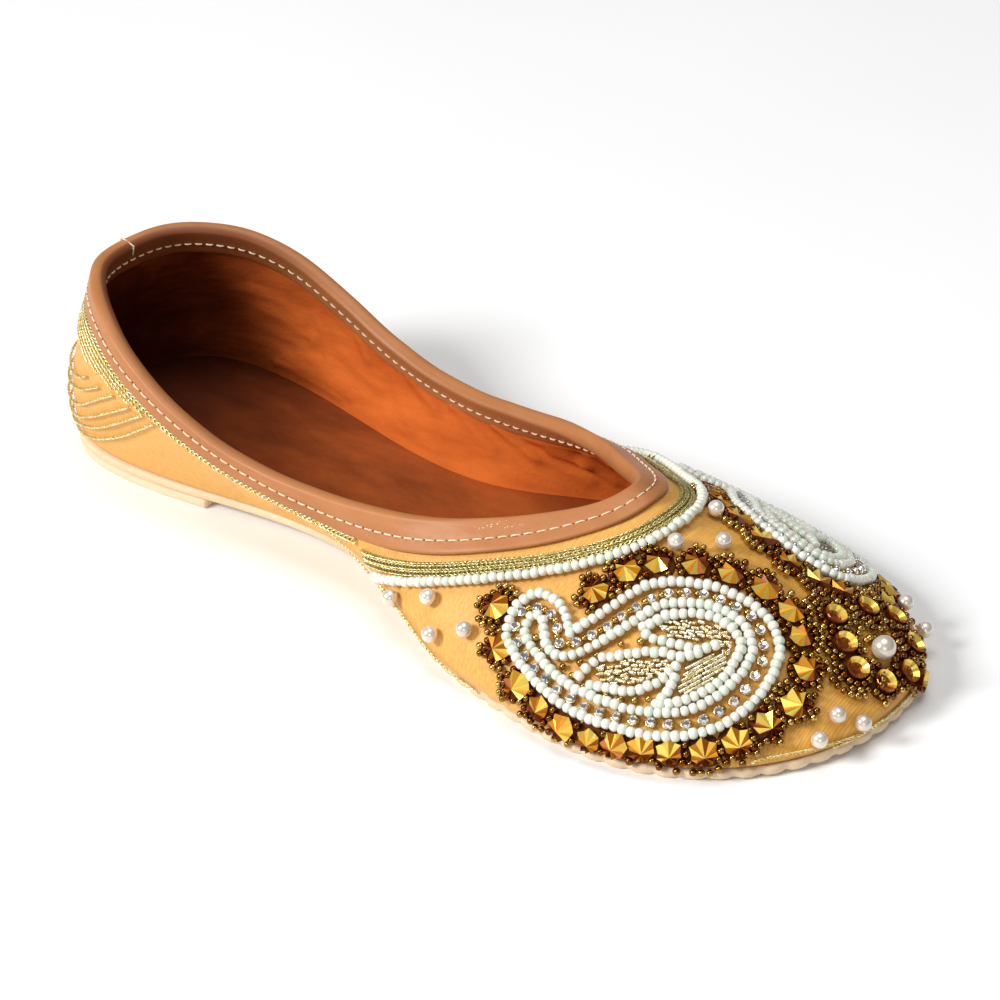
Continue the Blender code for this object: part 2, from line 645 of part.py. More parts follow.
# Finishes: linear colour, metallic, roughness
FINISHES = {
    "silk": ((0.870, 0.480, 0.150, 1.0), 0.0, 0.55),
    "binding": ((0.620, 0.290, 0.140, 1.0), 0.0, 0.50),
    "sole_leather": ((0.800, 0.620, 0.420, 1.0), 0.0, 0.65),
    "lift_leather": ((0.900, 0.780, 0.560, 1.0), 0.0, 0.60),
    "insole_leather": ((0.280, 0.090, 0.030, 1.0), 0.0, 0.60),
    "zari": ((0.780, 0.650, 0.300, 1.0), 0.7, 0.35),
    "white_bead": ((0.850, 0.860, 0.780, 1.0), 0.0, 0.20),
    "foil": ((0.640, 0.300, 0.030, 1.0), 0.8, 0.30),
    "pearl": ((0.900, 0.850, 0.780, 1.0), 0.1, 0.15),
}


def material(name):
    colour, metallic, roughness = FINISHES[name]
    finish = bpy.data.materials.get(name) or bpy.data.materials.new(name)
    finish.use_nodes = True
    shader = finish.node_tree.nodes["Principled BSDF"]
    shader.inputs["Base Color"].default_value = colour
    shader.inputs["Metallic"].default_value = metallic
    shader.inputs["Roughness"].default_value = roughness
    return finish


def build():
    """Places the pieces with the middle of their box over the origin, standing on Z = 0."""
    every = np.concatenate([points for _, points, _, _ in PIECES])
    middle = (every.min(axis=0) + every.max(axis=0)) / 2
    shift = np.array([middle[0], middle[1], every[:, 2].min()])
    for name, points, faces, finish in PIECES:
        mesh = bpy.data.meshes.new(name)
        mesh.from_pydata((points - shift).tolist(), [], faces)
        tidy = bmesh.new()
        tidy.from_mesh(mesh)
        bmesh.ops.recalc_face_normals(tidy, faces=tidy.faces)
        tidy.to_mesh(mesh)
        tidy.free()
        mesh.shade_smooth()
        mesh.set_sharp_from_angle(angle=math.radians(40))
        mesh.materials.append(material(finish))
        piece = bpy.data.objects.new(name, mesh)
        bpy.context.scene.collection.objects.link(piece)


def main():
    for old in list(bpy.data.objects):
        bpy.data.objects.remove(old)
    make_upper()
    make_outsole()
    make_heel_lift()
    make_insole()
    make_binding()
    make_quarter_braid()
    make_throat_braid()
    make_throat_beads()
    make_paisley("paisley_outer", -1)
    make_paisley("paisley_inner", 1)
    make_border("floret_border_outer", -1)
    make_border("floret_border_inner", 1)
    make_toe_flower()
    make_pearls()
    build()


main()
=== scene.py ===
"""Looks of the mojari: silk, leather, zari braids, glass beads, foil florets and pearls.

Each piece is laid on the same face as its solid: a closed spline of sections round the last.
"""
import math

import bmesh
import bpy
import numpy as np
from mathutils import Matrix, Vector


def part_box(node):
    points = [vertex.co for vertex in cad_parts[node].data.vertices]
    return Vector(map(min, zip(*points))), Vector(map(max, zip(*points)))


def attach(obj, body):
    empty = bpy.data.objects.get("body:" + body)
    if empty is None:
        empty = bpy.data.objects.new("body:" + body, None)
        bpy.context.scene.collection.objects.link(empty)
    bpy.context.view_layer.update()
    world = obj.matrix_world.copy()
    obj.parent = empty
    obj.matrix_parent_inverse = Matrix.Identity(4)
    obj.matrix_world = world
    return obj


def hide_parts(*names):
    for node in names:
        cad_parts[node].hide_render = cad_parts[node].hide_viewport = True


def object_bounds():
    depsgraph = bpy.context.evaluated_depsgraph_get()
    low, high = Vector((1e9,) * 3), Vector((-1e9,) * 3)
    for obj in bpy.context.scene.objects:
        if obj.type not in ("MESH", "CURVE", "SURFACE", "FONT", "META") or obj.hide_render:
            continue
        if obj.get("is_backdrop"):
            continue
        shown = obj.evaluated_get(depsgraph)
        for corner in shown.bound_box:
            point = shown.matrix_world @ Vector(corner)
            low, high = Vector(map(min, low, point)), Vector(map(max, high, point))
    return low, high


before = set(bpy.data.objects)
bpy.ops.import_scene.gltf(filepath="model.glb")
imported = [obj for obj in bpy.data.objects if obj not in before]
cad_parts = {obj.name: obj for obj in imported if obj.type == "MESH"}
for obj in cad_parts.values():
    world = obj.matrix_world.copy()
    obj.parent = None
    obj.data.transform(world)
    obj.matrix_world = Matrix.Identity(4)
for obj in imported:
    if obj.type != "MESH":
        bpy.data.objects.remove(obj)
CAD_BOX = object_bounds()

MM = 0.001
random = np.random.default_rng(38)

# Driving sizes of the last and the upper, in metres
LAST_LENGTH = 0.240
BALL_WIDTH = 0.090
BACK_HEIGHT = 0.0435
INSTEP_HEIGHT = 0.0330
TOE_SWING = 0.005
WALL = 0.0018
FIT = 0.0003
# Sole, heel lift and insole
SOLE_THICK = 0.0022
SOLE_EDGE = 0.0012
HEEL_LIFT = 0.0023
TOE_SPRING = 0.0010
INSOLE_THICK = 0.0012
# Binding folded over the collar
BINDING_LEG = 0.0070
BINDING_INNER_LEG = 0.0062
BINDING_THICK = 0.0009
# Zari braids and the seed bead row, measured down the face from the collar
QUARTER_BRAID_WIDTH = 0.0022
THROAT_BRAID_DOWN = 0.0114
THROAT_BRAID_WIDTH = 0.0036
SEED_BEAD = 0.0022
BEAD_ROW_DOWN = THROAT_BRAID_DOWN + THROAT_BRAID_WIDTH / 2 + FIT + SEED_BEAD / 2
TOE_PEARL = 0.0055
SMALL_PEARL = 0.0038
# Places along the shoe, as shares of the last length from its middle
BREAST_AT = -0.26
TREAD_FROM = 0.10
SPRING_FROM = 0.36
SWING_FROM = -0.083
# Places round the face: 0 is the back of the heel, 1 the toe tip, 2 the heel again
SEAM_AT = 0.556
SEAM_GAP = 0.018
BEAD_ROW_FROM = 0.580
PATTERN_AXIS = 1.014
# How finely the solids are cut
ROUND_STATIONS = 72
# One row per section from the back of the heel to the toe tip. fan is the outward direction in
# degrees. x columns are shares of LAST_LENGTH, y and out columns of BALL_WIDTH, by_back of
# BACK_HEIGHT, by_instep of INSTEP_HEIGHT, up_low and drop_high of the section's own rise,
# edge of SOLE_EDGE and leg of BINDING_LEG.
COLUMNS = ("fan", "foot_x", "outer_y", "inner_y", "out_low", "up_low", "collar_x", "collar_y",
           "by_back", "by_instep", "out_high", "drop_high", "edge", "leg")
SECTIONS = (
    (180, -0.5000, 0.000, 0.000, 0.064, 0.31, -0.4640, 0.000, 1.00, 0.00, 0.040, 0.31, 1.0, 0.92),
    (150, -0.4885, 0.155, 0.153, 0.061, 0.31, -0.4510, 0.140, 1.00, 0.00, 0.040, 0.30, 1.0, 0.92),
    (125, -0.4480, 0.270, 0.265, 0.057, 0.29, -0.4050, 0.256, 0.97, 0.00, 0.038, 0.30, 1.0, 0.88),
    (100, -0.3460, 0.307, 0.300, 0.056, 0.33, -0.3310, 0.345, 0.82, 0.00, 0.036, 0.32, 0.9, 0.78),
    (90, -0.1920, 0.247, 0.244, 0.057, 0.42, -0.2100, 0.355, 0.53, 0.00, 0.025, 0.40, 0.3, 0.62),
    (90, -0.0330, 0.254, 0.250, 0.068, 0.42, -0.0730, 0.322, 0.27, 0.24, 0.025, 0.39, 0.0, 0.82),
    (85, 0.0910, 0.423, 0.400, 0.076, 0.33, 0.0450, 0.294, 0.12, 0.55, 0.047, 0.33, 0.6, 1.02),
    (75, 0.2190, 0.503, 0.472, 0.064, 0.26, 0.1180, 0.225, 0.04, 0.76, 0.117, 0.27, 1.0, 1.05),
    (55, 0.3590, 0.489, 0.455, 0.052, 0.17, 0.1660, 0.151, 0.00, 0.89, 0.150, 0.22, 1.0, 0.95),
    (38, 0.4510, 0.333, 0.310, 0.054, 0.18, 0.1940, 0.098, 0.00, 0.95, 0.214, 0.17, 1.0, 0.88),
    (16, 0.4920, 0.133, 0.128, 0.056, 0.22, 0.2102, 0.045, 0.00, 1.00, 0.263, 0.15, 1.0, 0.84),
    (0, 0.4980, 0.000, 0.000, 0.058, 0.24, 0.2145, 0.000, 0.00, 1.02, 0.288, 0.14, 1.0, 0.82),
)
# The paisley is drawn flat on a chart laid against the vamp at this place of the face.
# Its outline is in shares of PAISLEY_LENGTH: along towards the toe, across towards the instep.
CHART_AT = (0.89, 0.51)
FLOWER_AT = (1.016, 0.290)
# Small pearls under the bead row: places round the face
ROW_PEARLS = (0.611, 0.670, 0.972, 1.040, 1.353, 1.400)
# Small pearls on the vamp: place round the face, and level from the sole edge (0) to the collar (1)
VAMP_PEARLS = (
    (0.672, 0.330), (0.715, 0.450), (1.002, 0.735), (0.961, 0.195), (0.971, 0.115),
    (0.943, 0.125), (1.082, 0.110), (1.096, 0.205), (1.350, 0.217), (1.310, 0.368),
)


def smooth(x):
    """Smooth step from 0 to 1."""
    x = np.clip(x, 0.0, 1.0)
    return x * x * (3.0 - 2.0 * x)


def sole_bottom(x):
    """Height of the outsole's underside: level on the lift, down the waist, flat tread, toe spring."""
    along = np.asarray(x) / LAST_LENGTH
    waist = 1.0 - smooth((along - BREAST_AT) / (TREAD_FROM - BREAST_AT))
    toe = np.clip((along - SPRING_FROM) / (0.5 - SPRING_FROM), 0.0, 1.1) ** 2
    return (HEEL_LIFT + FIT) * waist + TOE_SPRING * toe


def sole_top(x):
    return sole_bottom(x) + SOLE_THICK


def swing(points):
    """Bend towards the big toe: y grows with the square of the distance in front of the waist."""
    bent = np.array(points, float)
    ahead = np.clip(points[..., 0] / LAST_LENGTH - SWING_FROM, 0.0, None) / (0.5 - SWING_FROM)
    bent[..., 1] += TOE_SWING * ahead ** 2
    return bent


def spline_bends(knots, values):
    """Second derivatives of the closed cubic spline through values at knots."""
    count = len(knots) - 1
    step = np.diff(knots)
    slope = (np.roll(values, -1, 0) - values) / step[:, None]
    matrix = np.zeros((count, count))
    right = np.zeros_like(values)
    for i in range(count):
        matrix[i, i - 1] += step[i - 1]
        matrix[i, i] += 2.0 * (step[i - 1] + step[i])
        matrix[i, (i + 1) % count] += step[i]
        right[i] = 6.0 * (slope[i] - slope[i - 1])
    return np.linalg.solve(matrix, right)


def spline_at(knots, values, bends, t):
    """Points of the closed spline at t."""
    count = len(values)
    t = np.mod(np.asarray(t, float), knots[-1])
    i = np.clip(np.searchsorted(knots, t, side="right") - 1, 0, count - 1)
    j = (i + 1) % count
    step = (knots[i + 1] - knots[i])[..., None]
    a = (knots[i + 1] - t)[..., None] / step
    b = 1.0 - a
    bend = ((a ** 3 - a) * bends[i] + (b ** 3 - b) * bends[j]) * step ** 2 / 6.0
    return a * values[i] + b * values[j] + bend


def section_values():
    """Per section: four control points of its curve, the sole edge's width and the binding's leg."""
    half = [dict(zip(COLUMNS, row)) for row in SECTIONS]
    around = [(row, -1.0) for row in half] + [(row, 1.0) for row in half[-2:0:-1]]
    values = []
    for row, side in around:
        fan = math.radians(row["fan"])
        outward = np.array([math.cos(fan), side * math.sin(fan), 0.0]) * BALL_WIDTH
        upward = np.array([0.0, 0.0, 1.0])
        half_width = row["outer_y"] if side < 0 else row["inner_y"]
        foot_x = row["foot_x"] * LAST_LENGTH
        foot = np.array([foot_x, side * half_width * BALL_WIDTH, sole_top(foot_x) + FIT])
        seat = SOLE_THICK + FIT + (HEEL_LIFT + FIT) * row["by_back"]
        height = seat + row["by_back"] * BACK_HEIGHT + row["by_instep"] * INSTEP_HEIGHT
        collar = np.array([row["collar_x"] * LAST_LENGTH, side * row["collar_y"] * BALL_WIDTH, height])
        rise = height - foot[2]
        low = foot + outward * row["out_low"] + upward * row["up_low"] * rise
        high = collar + outward * row["out_high"] - upward * row["drop_high"] * rise
        extra = [row["edge"] * SOLE_EDGE, row["leg"] * BINDING_LEG]
        values.append(np.concatenate([foot, low, high, collar, extra]))
    return np.array(values)


def section_spline():
    """Closed spline of the sections; its knots run 0 to 1 by the outer side and mirror back to 2."""
    values = section_values()
    half = len(SECTIONS)
    feet = np.linalg.norm(np.diff(values[:half, 0:3], axis=0), axis=1)
    collars = np.linalg.norm(np.diff(values[:half, 9:12], axis=0), axis=1)
    outer = np.concatenate([[0.0], np.cumsum(feet + collars)]) / (feet + collars).sum()
    knots = np.concatenate([outer, 2.0 - outer[-2::-1]])
    return knots, values, spline_bends(knots, values)


SECTION_SPLINE = section_spline()


def face(t, w):
    """Outer face of the upper: t round the shoe, w from the sole edge (0) to the collar (1)."""
    t, w = np.broadcast_arrays(np.asarray(t, float), np.asarray(w, float))
    v = spline_at(*SECTION_SPLINE, t)
    w = w[..., None]
    return swing((1 - w) ** 3 * v[..., 0:3] + 3 * w * (1 - w) ** 2 * v[..., 3:6]
                 + 3 * w ** 2 * (1 - w) * v[..., 6:9] + w ** 3 * v[..., 9:12])


def slopes(t, w):
    """Change of the face along t and along w."""
    step = 1e-4
    t = np.asarray(t, float)
    below = np.clip(w - step, 0.0, 1.0)
    above = np.clip(w + step, 0.0, 1.0)
    along = (face(t + step, w) - face(t - step, w)) / (2 * step)
    upward = (face(t, above) - face(t, below)) / np.asarray(above - below)[..., None]
    return along, upward


def unit(vectors):
    return vectors / np.linalg.norm(vectors, axis=-1, keepdims=True)


def raised(t, w, out):
    """Point of the face moved out along its normal."""
    t, w = np.broadcast_arrays(np.asarray(t, float), np.asarray(w, float))
    along, upward = slopes(t, w)
    return face(t, w) + unit(np.cross(along, upward)) * np.asarray(out, float)[..., None]


def level_at(t, down):
    """Level of the face at a distance down from the collar."""
    t, down = np.broadcast_arrays(np.asarray(t, float), np.asarray(down, float))
    levels = np.linspace(1.0, 0.0, 61)
    line = face(t[..., None], levels)
    run = np.linalg.norm(np.diff(line, axis=-2), axis=-1)
    run = np.concatenate([np.zeros(run.shape[:-1] + (1,)), np.cumsum(run, axis=-1)], axis=-1)
    target = np.clip(down, 0.0, run[..., -1])
    i = np.clip((run <= target[..., None]).sum(-1) - 1, 0, len(levels) - 2)
    start = np.take_along_axis(run, i[..., None], -1)[..., 0]
    end = np.take_along_axis(run, i[..., None] + 1, -1)[..., 0]
    return levels[i] + (levels[i + 1] - levels[i]) * (target - start) / (end - start)


def below_collar(t, down, out):
    """Point at a distance down the face from the collar; a negative distance goes on past it."""
    t, down, out = np.broadcast_arrays(np.asarray(t, float), np.asarray(down, float),
                                       np.asarray(out, float))
    w = level_at(t, down)
    past = np.clip(-down, 0.0, None)[..., None]
    return raised(t, w, out) + unit(slopes(t, w)[1]) * past


def walk(t, w, direction, distance):
    """Step along the face from (t, w) by a distance in a direction given in space."""
    along, upward = slopes(t, w)
    aa = (along * along).sum(-1)
    uu = (upward * upward).sum(-1)
    au = (along * upward).sum(-1)
    da = (along * direction).sum(-1)
    du = (upward * direction).sum(-1)
    det = aa * uu - au ** 2
    dt = (uu * da - au * du) / det
    dw = (aa * du - au * da) / det
    return t + dt * distance, w + dw * distance


def chart_frame(place):
    """Origin and two axes of a flat chart that touches the face: to the toe, and across."""
    t, w = place
    along, upward = slopes(t, w)
    out = unit(np.cross(along, upward))
    ahead = unit(np.array([1.0, 0.0, 0.0]) - out * out[0])
    return face(t, w), ahead, np.cross(out, ahead)


def from_chart(place, a, b):
    """Place on the face under each chart point, by Newton's steps."""
    origin, ahead, across = chart_frame(place)
    t = np.full(np.shape(a), place[0], float)
    w = np.full(np.shape(a), place[1], float)
    for _ in range(25):
        offset = face(t, w) - origin
        along, upward = slopes(t, w)
        miss_a = a - offset @ ahead
        miss_b = b - offset @ across
        ta, tb = along @ ahead, along @ across
        wa, wb = upward @ ahead, upward @ across
        det = ta * wb - tb * wa
        t = t + np.clip((miss_a * wb - miss_b * wa) / det, -0.04, 0.04)
        w = np.clip(w + np.clip((miss_b * ta - miss_a * tb) / det, -0.1, 0.1), 0.02, 0.98)
    return t, w


def stations():
    return np.linspace(0.0, 2.0, ROUND_STATIONS, endpoint=False)


def sole_line(inset=None):
    """Plan line of the sole's own edge, or of the foot line moved in by a distance."""
    t = stations()
    foot = face(t, 0.0)
    ahead = face(t + 1e-3, 0.0) - face(t - 1e-3, 0.0)
    outward = unit(np.stack([ahead[:, 1], -ahead[:, 0]], axis=-1))
    edge = spline_at(*SECTION_SPLINE, t)[:, 12]
    out = edge if inset is None else np.full_like(edge, -inset)
    return foot[:, :2] + outward * out[:, None]


def mirrored(t, side):
    """The same place on the outer side (-1) or the inner side (1) of the pattern's axis."""
    return t if side < 0 else 2.0 * PATTERN_AXIS - t


def pearl_places():
    """Place round and level of each small pearl: those touching the bead row, then the vamp's."""
    down = BEAD_ROW_DOWN + SEED_BEAD / 2 + 2 * FIT + SMALL_PEARL / 2
    return [(t, float(level_at(t, down))) for t in ROW_PEARLS] + list(VAMP_PEARLS)


# Places of the scene's own trims, in metres
SILK_DEPTH = 0.0009
STITCH_LENGTH = 0.0023
STITCH_PITCH = 0.0030
STITCH_ABOVE = 0.0027
STITCH_THREAD = 0.00044
INNER_STITCH_LENGTH = 0.0020
INNER_STITCH_PITCH = 0.0030
INNER_STITCH_ABOVE = 0.0028
NEEDLE_HOLE = 0.00050
WHITE_BEAD = 0.0025
WHITE_PITCH = 0.0019
BRONZE_BEAD = 0.0017
FLORET_RADIUS = 0.0032
FLORET_FACETS = 16
# How far a floret's apex lies from its middle, in reaches
APEX = 0.45
RING_RADIUS = 0.0036
SECOND_RING = 0.0050
THIRD_RING = 0.0065
CUP_RADIUS = 0.0027
GROUND_REACH = 0.0042
STONE = 0.0021
STONE_PITCH = 0.0038
COIL = 0.0010
COIL_TURN = 0.00034
ZARI_CORD = 0.0010
WHIP_PITCH = 0.0058
WHIP_DEPTH = 0.0008

# Creases of the upper: start (t, w), end (t, w), half width and height in millimetres
OUTER_CREASES = (
    (0.395, 0.10, 0.455, 0.70, 3.2, -0.50), (0.430, 0.05, 0.490, 0.62, 2.6, 0.35),
    (0.345, 0.15, 0.390, 0.75, 3.5, -0.35), (0.475, 0.12, 0.520, 0.60, 2.4, -0.40),
    (1.540, 0.12, 1.600, 0.66, 3.0, -0.45), (1.500, 0.10, 1.548, 0.60, 2.6, 0.30),
    (0.080, 0.20, 0.200, 0.35, 3.5, -0.30), (0.100, 0.45, 0.230, 0.55, 3.2, -0.25),
    (1.860, 0.25, 1.760, 0.45, 3.5, -0.30), (0.615, 0.55, 0.600, 0.90, 2.2, -0.25),
    (0.985, 0.86, 1.045, 0.90, 3.0, -0.30), (0.870, 0.83, 0.930, 0.88, 2.4, 0.20),
)
LINING_CREASES = (
    (1.415, 0.780, 1.350, 0.760, 1.7, -1.3), (1.350, 0.760, 1.326, 0.680, 1.7, -1.2),
    (1.326, 0.680, 1.330, 0.480, 1.8, -1.1), (1.420, 0.560, 1.385, 0.500, 1.8, -1.2),
    (1.385, 0.500, 1.372, 0.260, 1.8, -1.2), (1.450, 0.420, 1.400, 0.200, 1.6, -1.0),
    (1.440, 0.700, 1.390, 0.640, 1.6, -0.9), (1.300, 0.800, 1.200, 0.620, 2.0, -1.2),
    (1.806, 0.100, 1.705, 0.075, 1.0, -1.5), (1.795, 0.170, 1.690, 0.135, 1.0, -1.3),
    (1.780, 0.240, 1.700, 0.200, 1.0, -1.1), (1.694, 0.760, 1.676, 0.560, 1.6, -1.2),
    (1.607, 0.740, 1.570, 0.500, 1.6, -1.3), (1.640, 0.600, 1.600, 0.200, 1.8, -0.9),
    (1.540, 0.700, 1.500, 0.300, 1.8, -1.1), (1.760, 0.620, 1.730, 0.300, 1.8, -1.0),
    (1.480, 0.720, 1.450, 0.350, 1.6, -1.2), (1.850, 0.600, 1.780, 0.520, 1.4, -1.0),
    (1.840, 0.480, 1.760, 0.400, 1.4, -0.9), (1.720, 0.420, 1.650, 0.360, 1.4, -0.9),
)

# The paisley on its chart, in millimetres: to the toe, across to the instep
OUTLINE_ROW = (
    (-30.5, 0.3), (-27.9, 0.5), (-25.5, 0.1), (-23.3, -0.7), (-21.3, -2.6), (-19.4, -4.6),
    (-18.0, -2.6), (-15.2, 2.9), (-12.9, 7.8), (-10.1, 12.9), (-5.5, 16.4), (0.2, 19.3),
    (5.5, 20.5), (11.0, 20.7), (16.3, 19.4), (20.9, 15.9), (22.9, 10.7), (23.5, 4.4),
    (22.4, -1.7), (19.8, -7.3), (14.2, -12.9), (6.6, -16.7), (-0.1, -18.1), (-5.9, -19.1),
    (-13.0, -18.9), (-20.3, -17.1), (-27.5, -14.3), (-32.0, -10.9), (-33.6, -5.2), (-32.4, -1.6),
)
STONE_ROW = (
    (-32.1, -5.2), (-29.2, -2.9), (-26.0, -2.7), (-23.3, -4.0), (-20.4, -7.6), (-17.4, -6.3),
    (-15.2, -3.5), (-13.2, -0.7), (-11.5, 3.2), (-9.6, 7.0), (-7.8, 10.4), (-5.1, 13.6),
    (-2.1, 15.6), (1.7, 17.5), (5.3, 18.2), (8.5, 18.5), (11.8, 18.6), (15.4, 16.9), (17.8, 14.4),
    (19.7, 11.4), (20.4, 7.3), (20.4, 3.1), (19.7, -1.3), (18.0, -4.7), (16.4, -7.6), (14.0, -10.1),
    (10.6, -12.1), (6.9, -13.6), (2.3, -15.4), (-0.8, -16.2), (-4.5, -17.1), (-7.9, -17.4),
    (-11.6, -17.0), (-14.7, -16.9), (-18.8, -15.8), (-22.4, -14.9), (-26.7, -13.0), (-30.8, -9.6),
)
SECOND_ROW = (
    (-28.4, -9.0), (-29.3, -6.4), (-28.6, -4.4), (-26.4, -4.7), (-24.6, -7.0), (-22.4, -9.4),
    (-18.6, -10.4), (-15.4, -8.3), (-12.0, -3.4), (-9.3, 1.4), (-7.1, 6.3), (-5.2, 10.1),
    (-1.8, 12.7), (3.0, 15.2), (7.9, 16.2), (13.0, 15.2), (16.8, 11.5), (17.8, 7.1), (17.4, 2.5),
    (15.7, -2.9), (12.7, -7.3), (8.3, -10.6), (2.8, -13.0), (-3.2, -14.3), (-9.0, -14.9),
    (-14.6, -14.5), (-21.0, -12.8), (-26.5, -10.6),
)
OPEN_ROWS = (
    ((-4.7, 5.3), (-2.7, 8.6), (0.4, 11.1), (3.7, 13.0), (7.2, 13.7), (10.7, 13.5), (14.1, 11.5),
     (15.2, 7.6), (15.2, 2.6), (14.0, -1.0), (12.3, -3.9), (10.1, -6.8), (7.0, -9.3)),
    ((-5.6, 4.0), (-3.0, 2.6), (0.9, 3.5), (4.4, 4.6), (7.7, 5.5), (9.8, 8.1)),
    ((-9.6, -6.2), (-6.6, -4.2), (-4.2, -2.3), (-1.3, -0.3), (1.6, 1.1), (5.1, 2.1), (7.8, 4.6)),
    ((-10.7, -8.0), (-11.4, -10.1), (-11.9, -12.2)),
    ((-8.5, -12.9), (-5.6, -11.8), (-2.3, -11.0), (0.4, -9.5), (2.7, -6.9), (4.3, -4.5), (5.2, -0.3)),
    ((6.6, -2.6), (6.8, -6.9), (6.2, -9.6)),
)
LEAVES = (
    ((-3.1, 6.7), (0.3, 9.3), (4.0, 11.3), (7.4, 12.3), (10.2, 12.2), (12.5, 10.9), (13.4, 8.7),
     (13.7, 6.6), (11.6, 8.0), (9.1, 8.9), (6.5, 7.5), (4.6, 6.5), (1.6, 5.4), (-1.4, 5.0)),
    ((-9.3, -7.7), (-6.6, -5.8), (-3.1, -3.1), (0.4, -0.8), (3.1, 0.1), (4.5, -0.4), (3.9, -2.6),
     (2.4, -5.0), (0.7, -7.3), (-2.0, -9.0), (-5.0, -10.3), (-7.3, -10.8), (-9.2, -10.2)),
    ((7.4, 2.1), (9.4, 4.7), (11.3, 7.3), (13.1, 7.6), (14.2, 5.8), (13.8, 2.9), (12.8, -0.2),
     (11.5, -2.9), (9.8, -4.9), (8.2, -4.8), (7.8, -2.5), (7.3, -0.1)),
)
# Direction of the coils in each leaf, in degrees on the chart, and the longest coil in millimetres
LEAF_LAY = ((20, 2.2), (30, 2.0), (62, 9.0))
SINGLE_BEADS = (
    (-7.7, -1.6), (-4.3, 0.9), (-11.0, -6.3), (-13.4, -9.4), (-16.4, -11.9), (-13.4, -12.7),
    (-22.8, -10.9), (-25.5, -9.0), (-9.9, -13.6), (-4.4, -13.3), (-1.1, -12.4), (1.7, -11.1),
    (4.1, -9.4),
)

# Florets round the outer paisley, as places on the face; the inner ones mirror them
FLORETS = (
    (0.754, 0.601), (0.751, 0.438), (0.762, 0.293), (0.776, 0.221), (0.792, 0.158), (0.810, 0.133),
    (0.828, 0.148), (0.845, 0.161), (0.861, 0.156), (0.881, 0.162), (0.902, 0.200), (0.924, 0.247),
    (0.946, 0.288), (0.968, 0.370), (0.982, 0.453), (0.991, 0.517), (0.992, 0.592), (0.983, 0.663),
    (0.969, 0.720), (0.944, 0.756), (0.913, 0.750), (0.870, 0.696),
)
PETALS = (
    (1.014, 0.442), (1.047, 0.378), (1.001, 0.375), (0.993, 0.298), (1.064, 0.280), (1.052, 0.190),
    (1.025, 0.160), (1.002, 0.205), (1.036, 0.050),
)

# Gold lines of the vamp's edge: from the bead row down to the sole, and again round the toe
EDGE_LINES = (
    ((0.566, 0.400), (0.572, 0.345), (0.604, 0.302), (0.632, 0.226), (0.656, 0.137), (0.690, 0.050),
     (0.703, 0.020)),
    ((0.903, 0.066), (0.910, 0.090), (0.923, 0.089), (0.932, 0.083), (0.944, 0.073), (0.956, 0.058),
     (0.974, 0.036), (0.995, 0.030), (1.020, 0.030), (1.050, 0.034)),
)
# Seam line: the quarter's cord leaves the binding and runs down to the sole
SEAM_LINE = (
    (0.470, 0.800), (0.489, 0.751), (0.500, 0.672), (0.509, 0.590), (0.519, 0.500), (0.531, 0.400),
    (0.545, 0.290), (0.560, 0.170), (0.575, 0.060),
)
# Heel embroidery: each line runs level round the back and climbs to the braid
HEEL_LINES = (
    ((0.000, 0.030), (0.070, 0.030), (0.122, 0.045), (0.150, 0.10), (0.176, 0.18), (0.211, 0.34),
     (0.243, 0.54), (0.268, 0.72)),
    ((0.000, 0.090), (0.070, 0.095), (0.110, 0.110), (0.140, 0.165), (0.168, 0.25), (0.188, 0.34),
     (0.212, 0.47), (0.236, 0.62), (0.252, 0.72)),
    ((0.000, 0.160), (0.070, 0.165), (0.112, 0.180), (0.136, 0.22), (0.158, 0.30), (0.183, 0.42),
     (0.207, 0.55), (0.228, 0.67)),
    ((0.000, 0.240), (0.070, 0.250), (0.112, 0.270), (0.137, 0.32), (0.157, 0.41), (0.175, 0.51),
     (0.200, 0.645)),
    ((0.000, 0.330), (0.070, 0.345), (0.110, 0.375), (0.135, 0.43), (0.149, 0.48), (0.172, 0.59)),
    ((0.000, 0.420), (0.060, 0.430), (0.105, 0.450), (0.128, 0.49), (0.146, 0.56)),
)
HEEL_ROWS = ((0.250, 1.0), (0.228, 2.0), (0.198, 3.0), (0.168, 4.0), (0.144, 5.0))
# Where the ends of the binding meet at the back of the heel
BINDING_JOIN = 0.002
CHAFED_REACH = (0.0075, 0.0014, 0.0014)


def footprint_shift():
    """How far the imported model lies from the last's own origin, read off the outsole's box."""
    line = sole_line()
    low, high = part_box("outsole")
    middle = (line.min(axis=0) + line.max(axis=0)) / 2
    return np.array([middle[0] - (low.x + high.x) / 2, middle[1] - (low.y + high.y) / 2, 0.0])


SHIFT = footprint_shift()


def grid(points, close_rows=False, close_columns=False, caps=False):
    """Points in rows and columns with the quads between neighbours, and polygons on open ends."""
    rows, columns = points.shape[:2]
    index = np.arange(rows * columns).reshape(rows, columns)
    ends = [np.stack([index[0][::-1], index[-1]])] if caps else []
    if close_rows:
        index = np.concatenate([index, index[:1]])
    if close_columns:
        index = np.concatenate([index, index[:, :1]], axis=1)
    quads = np.stack([index[:-1, :-1], index[1:, :-1], index[1:, 1:], index[:-1, 1:]], axis=-1)
    faces = [quads.reshape(-1, 4)] + ends
    return points.reshape(-1, 3), faces, [np.zeros(len(f)) for f in faces]


def copies(shape, centre, ahead, up, size, tone):
    """The shape set at every centre: its x along the thread, its z off the face, times a size."""
    points, faces, _ = shape
    axes = np.stack([ahead, np.cross(up, ahead), up], axis=1)
    size = np.broadcast_to(size, len(centre))[:, None, None]
    placed = centre[:, None] + np.einsum("kj,njx->nkx", points, axes) * size
    offset = (np.arange(len(centre)) * len(points))[:, None, None]
    tones = [np.repeat(tone, len(f)) for f in faces]
    return placed.reshape(-1, 3), [(f[None] + offset).reshape(-1, f.shape[1]) for f in faces], tones


